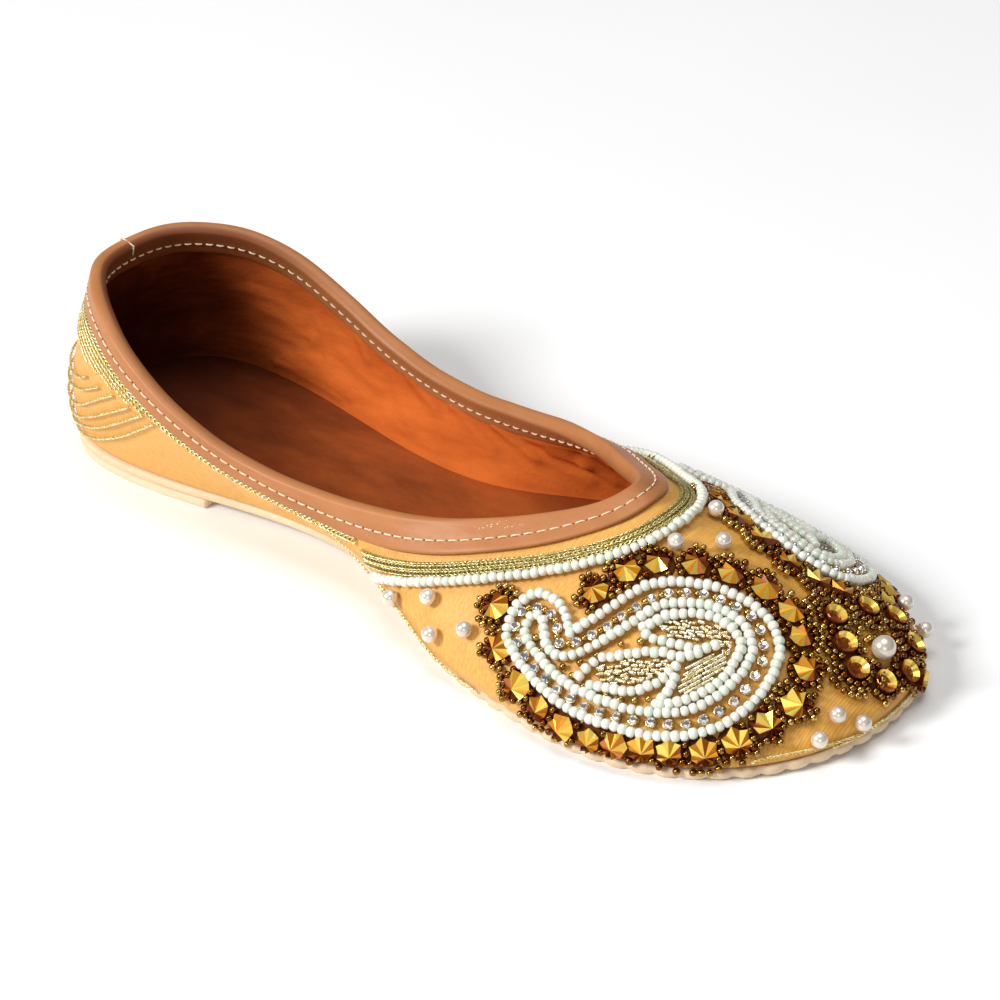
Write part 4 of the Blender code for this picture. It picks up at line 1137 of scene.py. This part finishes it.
def ring_beads(florets, others, radius, count, keep_off, kept, highest=1.0):
    """Bronze beads round each floret, left out where they would sit on a neighbour."""
    middles = face(*np.array(florets + others).T)
    found = []
    for number, (t, w) in enumerate(florets):
        turn = np.arange(count) * 2 * math.pi / count + number * 0.7
        ahead, _ = local_axes(np.full(count, t), np.full(count, w), turn)
        bead_t, bead_w = t, w
        for _ in range(2):
            bead_t, bead_w = walk(bead_t, bead_w, ahead, radius / 2)
        bead_w = np.clip(bead_w, 0.016, 1.0)
        here = face(bead_t, bead_w)
        gap = np.linalg.norm(here[:, None] - middles[None], axis=-1)
        free = (gap > RING_RADIUS * 0.90).all(axis=1) & (bead_w < highest)
        for j in np.nonzero(free)[0]:
            if all(np.linalg.norm(here[j] - other) > reach for other, reach in keep_off):
                if not kept or np.linalg.norm(np.array(kept) - here[j], axis=1).min() > BRONZE_BEAD * 0.84:
                    kept.append(here[j])
                    found.append((bead_t[j], bead_w[j]))
    return found


def outside_paisley(places, side, margin):
    """Places that lie outside the paisley's outer bead row by a margin in millimetres."""
    if not places:
        return []
    chart = chart_offsets(*np.array(places).T, side)
    row = flowing(OUTLINE_ROW, True, 0.5)
    gap = np.linalg.norm(chart[:, None] - row[None], axis=-1).min(axis=1)
    free = ~inside(chart, row) & (gap > margin)
    return [place for place, good in zip(places, free) if good]


def scatter_beads(groups, finish, name):
    """Bronze beads at places on the face, lying every way; each group has its range of tones."""
    places = [place for group, _, _ in groups for place in group]
    tone = np.concatenate([low + (high - low) * random.random(len(group)) for group, low, high in groups])
    t, w = np.array(places).T
    turn = random.random(len(t)) * 2 * math.pi
    ahead, out = local_axes(t, w, turn)
    centre = face(t, w) + out * (FIT + BRONZE_BEAD / 2)
    size = 1 + 0.07 * random.standard_normal(len(t)).clip(-1.5, 1.5)
    make_piece(name, [copies(BRONZE_SHAPE, centre, ahead, out, size, tone)], finish)


def make_cups(finish):
    """Cupped petals round the toe pearl: a bowl of smooth foil, deepest in its middle."""
    t, w = np.array(PETALS).T
    ahead, out = local_axes(t, w, np.zeros(len(t)))
    share = np.array([0.84, 1.0, 0.96, 0.78, 0.60, 0.40, 0.15])[:, None]
    height = np.array([0.0, 0.52, 0.60, 0.40, 0.20, 0.09, 0.05])[:, None]
    turn = np.arange(20) * 2 * math.pi / 20
    a = turn[None]
    points = np.broadcast_arrays(share * np.cos(a), share * np.sin(a), height)
    shape = grid(np.stack(points, axis=-1), False, True, caps=True)
    part = copies(shape, face(t, w) + out * (FIT + 0.0003), ahead, out, CUP_RADIUS, np.full(len(t), 0.25))
    # Painted highlight and shade: the bowl's far wall is painted bright as if it catches the light; its floor and
    # near wall are painted dark
    side = np.cross(out, ahead)
    towards = np.cos(turn)[None, :, None] * ahead[:, None] + np.sin(turn)[None, :, None] * side[:, None]
    lit = smooth((towards @ np.array([0.05, 0.98, 0.15]) + 0.10) / 0.45)[:, None]
    level = np.array([0.20, 0.80, 1.0, 0.85, 0.25, 0.10])[:, None]
    tones = 0.14 + 0.80 * lit * level + 0.08 * random.standard_normal((len(t), 6, 20))
    part[2][0] = tones.ravel()
    make_piece("toe_cups", [part], finish, ["toe_flower"], smooth_shade=False)


def make_pearls(finish):
    """Round imitation pearls on the face."""
    shape = pearl_ball(24, 15)
    big = raised(np.array([FLOWER_AT[0]]), np.array([FLOWER_AT[1]]), FIT + TOE_PEARL / 2)
    up, ahead = np.array([[0.0, 0.0, 1.0]]), np.array([[1.0, 0.0, 0.0]])
    make_piece("toe_pearl_round", [copies(shape, big, ahead, up, TOE_PEARL, np.zeros(1))], finish, ["toe_pearl"])
    places = np.array(pearl_places())
    centre = raised(places[:, 0], places[:, 1], FIT + SMALL_PEARL / 2)
    small = copies(shape, centre, np.repeat(ahead, len(centre), 0), np.repeat(up, len(centre), 0), SMALL_PEARL, random.random(len(centre)))
    names = ["small_pearl_%02d" % number for number in range(1, len(centre) + 1)]
    make_piece("small_pearls_round", [small], finish, names)


def make_embroidery(finish):
    """Gold cords of the heel and of the vamp's edge, on both sides."""
    parts = []
    for side in (-1, 1):
        for line in HEEL_LINES:
            t, w = flowing(line, False, 0.004).T
            parts += zari_cord(-side * t, w, 0.0011, side)
        for end, row in HEEL_ROWS:
            t = np.linspace(0.0, end, 60)
            down = binding_leg(t) + FIT + QUARTER_BRAID_WIDTH + (row - 0.4) * 0.00135
            parts += zari_cord(-side * t, level_at(t, down), 0.0010, side)
    make_piece("heel_embroidery", parts, finish)
    parts = []
    for side in (-1, 1):
        seam_t, seam_w = flowing(SEAM_LINE, False, 0.004).T
        first_t, first_w = flowing(EDGE_LINES[0], False, 0.004).T
        second_t, second_w = flowing(EDGE_LINES[1], False, 0.004).T
        for line_t, line_w, hand in ((seam_t, seam_w, 1), (first_t, first_w, 1),
                                     (first_t + 0.006, first_w - 0.012, -1), (second_t, second_w, 1)):
            line_t = line_t if side < 0 else 2.0 - line_t
            parts += zari_cord(line_t, np.clip(line_w, 0.012, 1.0), 0.0008, hand * side)
    make_piece("vamp_edge_zari", parts, finish)


def make_tape(name, t, down, width, replaced, finish):
    """Dark olive tape that the gold cords are couched on, with rounded edges; its darkness between the cords is
    partly painted shade.
    """
    across = np.array([-0.5, -0.48, -0.25, 0.0, 0.25, 0.48, 0.5])
    lift = np.array([0.05, 0.22, 0.26, 0.26, 0.26, 0.22, 0.05]) * MM
    high = below_collar(t[:, None], down[:, None] + across * width, np.broadcast_to(lift, (len(t), 7)))
    low = below_collar(t[:, None], down[:, None] + across[::-1] * width, np.full((len(t), 7), -0.00005))
    make_piece(name, [grid(np.concatenate([high, low], axis=1), False, True, caps=True)], finish, [replaced])


def linear(code):
    """sRGB hex to linear colour."""
    values = [int(code[i:i + 2], 16) / 255 for i in (1, 3, 5)]
    return tuple(v / 12.92 if v <= 0.04045 else ((v + 0.055) / 1.055) ** 2.4 for v in values) + (1.0,)


def node(tree, kind, settings=None, inputs=None):
    """Adds one node with its own settings, and its inputs as values or as links from sockets."""
    made = tree.nodes.new(kind)
    for key, value in (settings or {}).items():
        if key == "stops":
            for number, (place, code) in enumerate(value):
                stop = made.color_ramp.elements[number] if number < 2 else made.color_ramp.elements.new(place)
                stop.position = place
                stop.color = linear(code)
        else:
            setattr(made, key, value)
    for key, value in (inputs or {}).items():
        if isinstance(value, bpy.types.NodeSocket):
            tree.links.new(value, made.inputs[key])
        else:
            made.inputs[key].default_value = value
    return made


def start_finish(name, inputs):
    """New material with its shader's own sockets set."""
    finish = bpy.data.materials.new(name)
    finish.use_nodes = True
    tree = finish.node_tree
    shader = tree.nodes["Principled BSDF"]
    for key, value in inputs.items():
        shader.inputs[key].default_value = value
    return finish, tree, shader


def slubbed_silk():
    """Handloom art silk: ribs of weft across the shoe, faint slubs, a soft sheen on the ribs."""
    finish, tree, shader = start_finish("slubbed_silk", {
        "Roughness": 0.52, "Sheen Weight": 0.25, "Sheen Roughness": 0.35, "Sheen Tint": linear("#FFD890")})
    uv = node(tree, "ShaderNodeUVMap", {"uv_map": "cloth"})
    # Ribs 0.55 mm apart, drawn twice as coarse as the real ones so that they show
    ribs = node(tree, "ShaderNodeTexWave", {"bands_direction": "X"}, {
        "Vector": uv.outputs[0], "Scale": 570.0, "Distortion": 0.5, "Detail": 2.0, "Detail Scale": 2.5})
    slub_map = node(tree, "ShaderNodeMapping", {}, {"Vector": uv.outputs[0], "Scale": (1800.0, 520.0, 1.0)})
    slubs = node(tree, "ShaderNodeTexNoise", {}, {"Vector": slub_map.outputs[0], "Scale": 1.0, "Detail": 3.0})
    tint = node(tree, "ShaderNodeMath", {"operation": "MULTIPLY_ADD"}, {
        0: ribs.outputs["Fac"], 1: 0.20, 2: slubs.outputs[0]})
    place = node(tree, "ShaderNodeTexCoord")
    apart = node(tree, "ShaderNodeSeparateXYZ", {}, {"Vector": place.outputs["Object"]})
    # Orange gold at the quarters, browner towards the toe
    toe = node(tree, "ShaderNodeMapRange", {"interpolation_type": "SMOOTHSTEP"}, {
        "Value": apart.outputs[0], "From Min": 0.030, "From Max": 0.105})
    quarter = node(tree, "ShaderNodeValToRGB", {"stops": ((0.30, "#D39440"), (0.90, "#EEB75E"))}, {
        "Fac": tint.outputs[0]})
    forepart = node(tree, "ShaderNodeValToRGB", {"stops": ((0.30, "#CE9036"), (0.90, "#F0B854"))}, {
        "Fac": tint.outputs[0]})
    mixed = node(tree, "ShaderNodeMix", {"data_type": "RGBA"}, {
        "Factor": toe.outputs[0], "A": quarter.outputs[0], "B": forepart.outputs[0]})
    tree.links.new(mixed.outputs["Result"], shader.inputs["Base Color"])
    relief = node(tree, "ShaderNodeMath", {"operation": "MULTIPLY_ADD"}, {
        0: slubs.outputs[0], 1: 0.5, 2: ribs.outputs["Fac"]})
    bump = node(tree, "ShaderNodeBump", {}, {"Strength": 0.4, "Distance": 0.00010, "Height": relief.outputs[0]})
    tree.links.new(bump.outputs[0], shader.inputs["Normal"])
    return finish


def tanned(name, light, dark, grain, depth, inputs, heel_shade=None, shade=None, chafed=None):
    """Tanned leather: pebbled grain of a size in metres, cloudy colour drawn out along the hide,
    painted shade that darkens a lining's heel, painted shade where the piece's tone attribute asks
    for it, and pale pin-pricks where it is chafed."""
    finish, tree, shader = start_finish(name, inputs)
    place = node(tree, "ShaderNodeTexCoord")
    pebbles = node(tree, "ShaderNodeTexVoronoi", {"feature": "SMOOTH_F1"}, {
        "Vector": place.outputs["Object"], "Scale": 1.0 / grain})
    pores = node(tree, "ShaderNodeTexNoise", {}, {
        "Vector": place.outputs["Object"], "Scale": 2.5 / grain, "Detail": 4.0})
    drawn = node(tree, "ShaderNodeMapping", {}, {
        "Vector": place.outputs["Object"], "Scale": (34.0, 80.0, 170.0)})
    cloud = node(tree, "ShaderNodeTexNoise", {}, {
        "Vector": drawn.outputs[0], "Scale": 1.0, "Detail": 7.0, "Roughness": 0.65})
    colour = node(tree, "ShaderNodeValToRGB", {"stops": ((0.24, dark), (0.76, light))}, {"Fac": cloud.outputs[0]})
    shown = colour.outputs[0]
    # Painted shade: the colour darkens towards the heel end of the piece, with a ragged edge
    if heel_shade:
        apart = node(tree, "ShaderNodeSeparateXYZ", {}, {"Vector": place.outputs["Object"]})
        ragged_heel_shade = node(tree, "ShaderNodeMath", {"operation": "MULTIPLY_ADD"}, {
            0: cloud.outputs[0], 1: 0.03, 2: apart.outputs[0]})
        heel = node(tree, "ShaderNodeMapRange", {"interpolation_type": "SMOOTHSTEP"}, {
            "Value": ragged_heel_shade.outputs[0], "From Min": -0.108, "From Max": heel_shade[1]})
        mixed = node(tree, "ShaderNodeMix", {"data_type": "RGBA"}, {"Factor": heel.outputs[0]})
        mixed.inputs["A"].default_value = linear(heel_shade[0])
        tree.links.new(shown, mixed.inputs["B"])
        shown = mixed.outputs["Result"]
    # Painted shade: the colour is mixed towards the shade colour where the tone attribute is high
    if shade:
        tone = node(tree, "ShaderNodeAttribute", {"attribute_name": "tone", "attribute_type": "GEOMETRY"})
        mixed = node(tree, "ShaderNodeMix", {"data_type": "RGBA"}, {"Factor": tone.outputs["Fac"], "A": shown})
        mixed.inputs["B"].default_value = linear(shade)
        shown = mixed.outputs["Result"]
    if chafed:
        spot, turn, reach = chafed
        flat = node(tree, "ShaderNodeMapping", {"vector_type": "TEXTURE"}, {
            "Vector": place.outputs["Object"], "Location": spot, "Rotation": turn, "Scale": reach})
        span = node(tree, "ShaderNodeVectorMath", {"operation": "LENGTH"}, {0: flat.outputs[0]})
        near = node(tree, "ShaderNodeMapRange", {}, {
            "Value": span.outputs["Value"], "From Min": 0.7, "From Max": 1.1, "To Min": 0.9, "To Max": 0.0})
        cells = node(tree, "ShaderNodeTexVoronoi", {}, {"Vector": place.outputs["Object"], "Scale": 1500.0})
        pricks = node(tree, "ShaderNodeMapRange", {}, {
            "Value": cells.outputs["Distance"], "From Min": 0.18, "From Max": 0.28, "To Min": 1.0, "To Max": 0.0})
        mask = node(tree, "ShaderNodeMath", {"operation": "MULTIPLY"}, {0: near.outputs[0], 1: pricks.outputs[0]})
        mixed = node(tree, "ShaderNodeMix", {"data_type": "RGBA"}, {"Factor": mask.outputs[0], "A": shown})
        mixed.inputs["B"].default_value = linear("#F4E0CC")
        shown = mixed.outputs["Result"]
    tree.links.new(shown, shader.inputs["Base Color"])
    relief = node(tree, "ShaderNodeMath", {"operation": "MULTIPLY_ADD"}, {
        0: pores.outputs[0], 1: 0.5, 2: pebbles.outputs["Distance"]})
    bump = node(tree, "ShaderNodeBump", {}, {"Strength": 0.6, "Distance": depth, "Height": relief.outputs[0]})
    tree.links.new(bump.outputs[0], shader.inputs["Normal"])
    return finish


def toned(name, stops, inputs, ripple=None):
    """Finish whose colour follows the tone attribute (random per bead, painted light and shade on foil), with an
    optional fine ripple.
    """
    finish, tree, shader = start_finish(name, inputs)
    tone = node(tree, "ShaderNodeAttribute", {"attribute_name": "tone", "attribute_type": "GEOMETRY"})
    colour = node(tree, "ShaderNodeValToRGB", {"stops": stops}, {"Fac": tone.outputs["Fac"]})
    tree.links.new(colour.outputs[0], shader.inputs["Base Color"])
    if ripple:
        size, depth = ripple
        place = node(tree, "ShaderNodeTexCoord")
        noise = node(tree, "ShaderNodeTexNoise", {}, {
            "Vector": place.outputs["Object"], "Scale": 1.0 / size, "Detail": 3.0})
        bump = node(tree, "ShaderNodeBump", {}, {"Strength": 0.5, "Distance": depth, "Height": noise.outputs[0]})
        tree.links.new(bump.outputs[0], shader.inputs["Normal"])
    return finish


def worn_metal(name, stops, size, inputs):
    """Metal thread or wire: colour and shine change every few turns, as drawn wire does."""
    finish, tree, shader = start_finish(name, inputs)
    place = node(tree, "ShaderNodeTexCoord")
    noise = node(tree, "ShaderNodeTexNoise", {}, {
        "Vector": place.outputs["Object"], "Scale": 1.0 / size, "Detail": 2.0})
    colour = node(tree, "ShaderNodeValToRGB", {"stops": stops}, {"Fac": noise.outputs[0]})
    tree.links.new(colour.outputs[0], shader.inputs["Base Color"])
    return finish


def floor_and_light():
    """Plain pale floor, soft light from the left and front, a wide one above, a weak one right."""
    mesh = bpy.data.meshes.new("floor")
    mesh.from_pydata([(-4, -4, 0), (4, -4, 0), (4, 4, 0), (-4, 4, 0)], [], [(0, 1, 2, 3)])
    floor = bpy.data.objects.new("floor", mesh)
    bpy.context.scene.collection.objects.link(floor)
    finish, tree, shader = start_finish("pale_paper", {"Roughness": 0.9})
    place = node(tree, "ShaderNodeTexCoord")
    fibre = node(tree, "ShaderNodeTexNoise", {}, {"Vector": place.outputs["Object"], "Scale": 8.0})
    colour = node(tree, "ShaderNodeValToRGB", {"stops": ((0.0, "#F6F6F6"), (1.0, "#FBFBFB"))}, {
        "Fac": fibre.outputs[0]})
    tree.links.new(colour.outputs[0], shader.inputs["Base Color"])
    mesh.materials.append(finish)
    floor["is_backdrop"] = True
    world = bpy.data.worlds.new("studio")
    world.use_nodes = True
    world.node_tree.nodes["Background"].inputs["Color"].default_value = (1.0, 1.0, 1.0, 1.0)
    world.node_tree.nodes["Background"].inputs["Strength"].default_value = 0.22
    bpy.context.scene.world = world
    for name, spot, size, power in LAMPS:
        light = bpy.data.lights.new(name, "AREA")
        light.size = size
        light.energy = power
        lamp = bpy.data.objects.new(name, light)
        lamp.matrix_world = turned_to(unit(np.array(spot) - np.array([0.02, 0.0, 0.02])), 0.0, np.array(spot))
        bpy.context.scene.collection.objects.link(lamp)


def turned_to(back, roll, spot):
    """Placing of a camera or lamp that looks against the direction back, rolled by an angle."""
    right = unit(np.cross([0.0, 0.0, 1.0], back))
    up = np.cross(back, right)
    across = math.cos(roll) * right + math.sin(roll) * up
    over = math.cos(roll) * up - math.sin(roll) * right
    placing = np.eye(4)
    placing[:3, 0], placing[:3, 1], placing[:3, 2], placing[:3, 3] = across, over, back, spot
    return Matrix(placing.tolist())


# Lamps: place in metres, side of the square lamp, and power
LAMPS = (("key", (-0.65, -1.30, 1.12), 0.55, 29.5), ("ceiling", (0.05, 0.10, 1.40), 0.90, 8.5),
         ("fill", (0.90, -0.90, 0.55), 0.60, 2.0))
# The camera as solved from the photograph: degrees, metres, and focal length in millimetres
CAMERA_AZIMUTH, CAMERA_ELEVATION, CAMERA_ROLL = 41.808, 32.886, -2.395
CAMERA_DISTANCE, CAMERA_LENS = 0.6290, 96.18
CAMERA_TARGET = (0.01284, -0.000654, 0.019154)


def make_camera():
    """Camera at the photograph's angle, on a 36 mm wide square frame."""
    azimuth, elevation = math.radians(CAMERA_AZIMUTH), math.radians(CAMERA_ELEVATION)
    back = np.array([math.sin(azimuth) * math.cos(elevation), -math.cos(azimuth) * math.cos(elevation), math.sin(elevation)])
    data = bpy.data.cameras.new("camera")
    data.lens = CAMERA_LENS
    data.sensor_width = 36.0
    data.clip_start = 0.01
    camera = bpy.data.objects.new("camera", data)
    camera.matrix_world = turned_to(back, math.radians(CAMERA_ROLL), np.array(CAMERA_TARGET) + back * CAMERA_DISTANCE)
    bpy.context.scene.collection.objects.link(camera)
    bpy.context.scene.camera = camera


def main():
    make_camera()
    floor_and_light()
    bpy.context.scene.view_settings.view_transform = "Standard"
    silk = slubbed_silk()
    # Painted shade: the lining's dark heel colour #3A0C02 and its throat shade #7A2406
    lining = tanned("suede_lining", "#DA6F2C", "#AC4A18", 0.0009, 0.00012, {
        "Roughness": 0.85, "Specular IOR Level": 0.12}, ("#3A0C02", -0.046), "#7A2406")
    back, spot, front = raised(np.array([0.742, 0.752, 0.762]), np.array([0.962] * 3), 0.002) - SHIFT
    ahead = unit(front - back)
    turn = (0.0, -math.asin(ahead[2]), math.atan2(ahead[1], ahead[0]))
    chafed = (tuple(spot), turn, CHAFED_REACH)
    # Painted shade: #7A4220 darkens the binding's inner leg round the heel and fills the needle holes
    binding = tanned("glazed_sheepskin", "#BE7D4C", "#A76A3C", 0.0007, 0.00005, {
        "Roughness": 0.46, "Specular IOR Level": 0.35}, None, "#7A4220", chafed)
    sole_hide = tanned("undyed_cowhide", "#F2DAB8", "#DCBE98", 0.0009, 0.00012, {"Roughness": 0.66})
    lift_hide = tanned("cream_cowhide", "#F4DDBE", "#E2C59E", 0.0010, 0.00008, {"Roughness": 0.55})
    # Painted shade: the sock's dark heel colour #3A1003
    sock_hide = tanned("brown_cowhide", "#A9521F", "#6E3010", 0.0010, 0.00010, {
        "Roughness": 0.75, "Specular IOR Level": 0.15}, ("#3A1003", -0.010))
    cotton = worn_metal("cotton_thread", ((0.3, "#DDC2A0"), (0.7, "#F4E2C8")), 0.0006, {"Roughness": 0.7})
    zari = worn_metal("gold_zari", ((0.36, "#B09A45"), (0.5, "#E6D68E"), (0.60, "#FFF8D0")), 0.0005, {
        "Metallic": 1.0, "Roughness": 0.34})
    bright_zari = worn_metal("bright_gold_zari", ((0.36, "#CDB658"), (0.5, "#F3E29A"), (0.60, "#FFFBDC")), 0.0006, {
        "Metallic": 0.85, "Roughness": 0.40})
    coil = worn_metal("bullion_wire", ((0.35, "#C4A860"), (0.5, "#EFE3BC"), (0.65, "#FFFDF0")), 0.0006, {
        "Metallic": 1.0, "Roughness": 0.22})
    glass = toned("opaque_glass", ((0.0, "#DCE4D2"), (0.5, "#E8ECDF"), (1.0, "#EDE7DA")), {
        "Roughness": 0.12, "Coat Weight": 0.8, "Coat Roughness": 0.04})
    crystal = toned("foiled_crystal", ((0.0, "#D4D4DC"), (0.5, "#FFFFFF"), (1.0, "#FFEFF4")), {
        "Metallic": 1.0, "Roughness": 0.05})
    # Painted highlight and shade: the foil's colour follows tones painted on the florets' facets and the cups' walls
    foil = toned("pleated_foil", ((0.0, "#521804"), (0.3, "#A0500A"), (0.58, "#DE961A"), (0.85, "#FFDE66")), {
        "Metallic": 0.50, "Roughness": 0.22})
    bronze = toned("bronze_glass", ((0.0, "#743614"), (0.4, "#8A6228"), (1.0, "#DAB468")), {
        "Metallic": 1.0, "Roughness": 0.15})
    # Partly painted shade: the dark brown stands for a brown ground and the shade between the dense beads and florets
    ground = tanned("brown_ground_and_painted_shade", "#7A4318", "#4A220A", 0.0006, 0.00010, {
        "Roughness": 0.8, "Specular IOR Level": 0.1})
    # Partly painted shade: the olive tape also stands in for the shade between the cords
    tape = tanned("olive_tape_and_painted_shade", "#A89848", "#82732F", 0.0005, 0.00006, {"Roughness": 0.6})
    pearl = toned("imitation_pearl", ((0.0, "#E2D6C6"), (1.0, "#F3E9DC")), {
        "Metallic": 0.45, "Roughness": 0.24, "Coat Weight": 0.9, "Coat Roughness": 0.05}, (0.0015, 0.00003))

    make_silk(silk)
    make_lining(lining)
    make_binding(binding)
    make_stitches(cotton)
    make_needle_holes(binding)
    make_outsole(sole_hide)
    make_insole(sock_hide)
    make_heel_lift(lift_hide)
    t = np.linspace(SEAM_AT, 2.0 - SEAM_AT, 400)
    make_tape("throat_tape", t, np.full_like(t, THROAT_BRAID_DOWN), THROAT_BRAID_WIDTH * 1.06, "throat_braid", tape)
    t = np.linspace(2.0 - SEAM_AT + SEAM_GAP, 2.0 + SEAM_AT - SEAM_GAP, 500)
    down = binding_leg(t) + FIT + QUARTER_BRAID_WIDTH * 0.5
    make_tape("quarter_tape", t, down, QUARTER_BRAID_WIDTH, "quarter_braid", tape)
    make_quarter_braid(bright_zari)
    make_throat_braid(zari)
    make_throat_beads(glass)
    make_embroidery(bright_zari)
    make_cups(foil)
    make_pearls(pearl)
    pearls = [(face(np.array(t), np.array(w)), 0.0028) for t, w in pearl_places()]
    pearls.append((face(np.array(FLOWER_AT[0]), np.array(FLOWER_AT[1])), 0.0036))
    kept = []
    petals = list(PETALS)
    for side, word in ((-1, "outer"), (1, "inner")):
        make_paisley_beads("paisley_beads_" + word, side, "paisley_" + word, glass)
        cups, between = make_stones("paisley_stones_" + word, side, crystal)
        make_piece("stone_cups_" + word, [cups], coil)
        make_leaves("paisley_leaves_" + word, side, coil)
        places = clear_of([(mirrored(t, side), w) for t, w in FLORETS], petals, 0.0050)
        make_florets("florets_" + word, places, side, "floret_border_" + word, foil)
        make_ground("floret_ground_" + word, places + (petals if side < 0 else []), side, ground)
        first = ring_beads(places + petals, [], RING_RADIUS, 13, pearls, kept)
        second = ring_beads(places, petals, SECOND_RING, 18, pearls, kept)
        if side > 0:
            second += ring_beads([FLOWER_AT], petals + places, TOE_PEARL / 2 + BRONZE_BEAD * 0.55, 15, pearls, kept)
            second += ring_beads(petals, places, SECOND_RING, 18, pearls, kept)
            second += ring_beads(petals[:5], places, THIRD_RING, 24, pearls, kept)
        singles = chart_places(np.array(SINGLE_BEADS), side)
        groups = ((outside_paisley(first, side, 1.7), 0.0, 0.6), (outside_paisley(second, side, 1.7), 0.3, 1.0),
                  (list(zip(*singles)), 0.3, 0.9), (list(zip(*between)), 0.6, 1.0))
        scatter_beads(groups, bronze, "bronze_beads_" + word)


main()

low, high = CAD_BOX
new_low, new_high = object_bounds()
{"cad": [list(low), list(high)], "visual": [list(new_low), list(new_high)]}
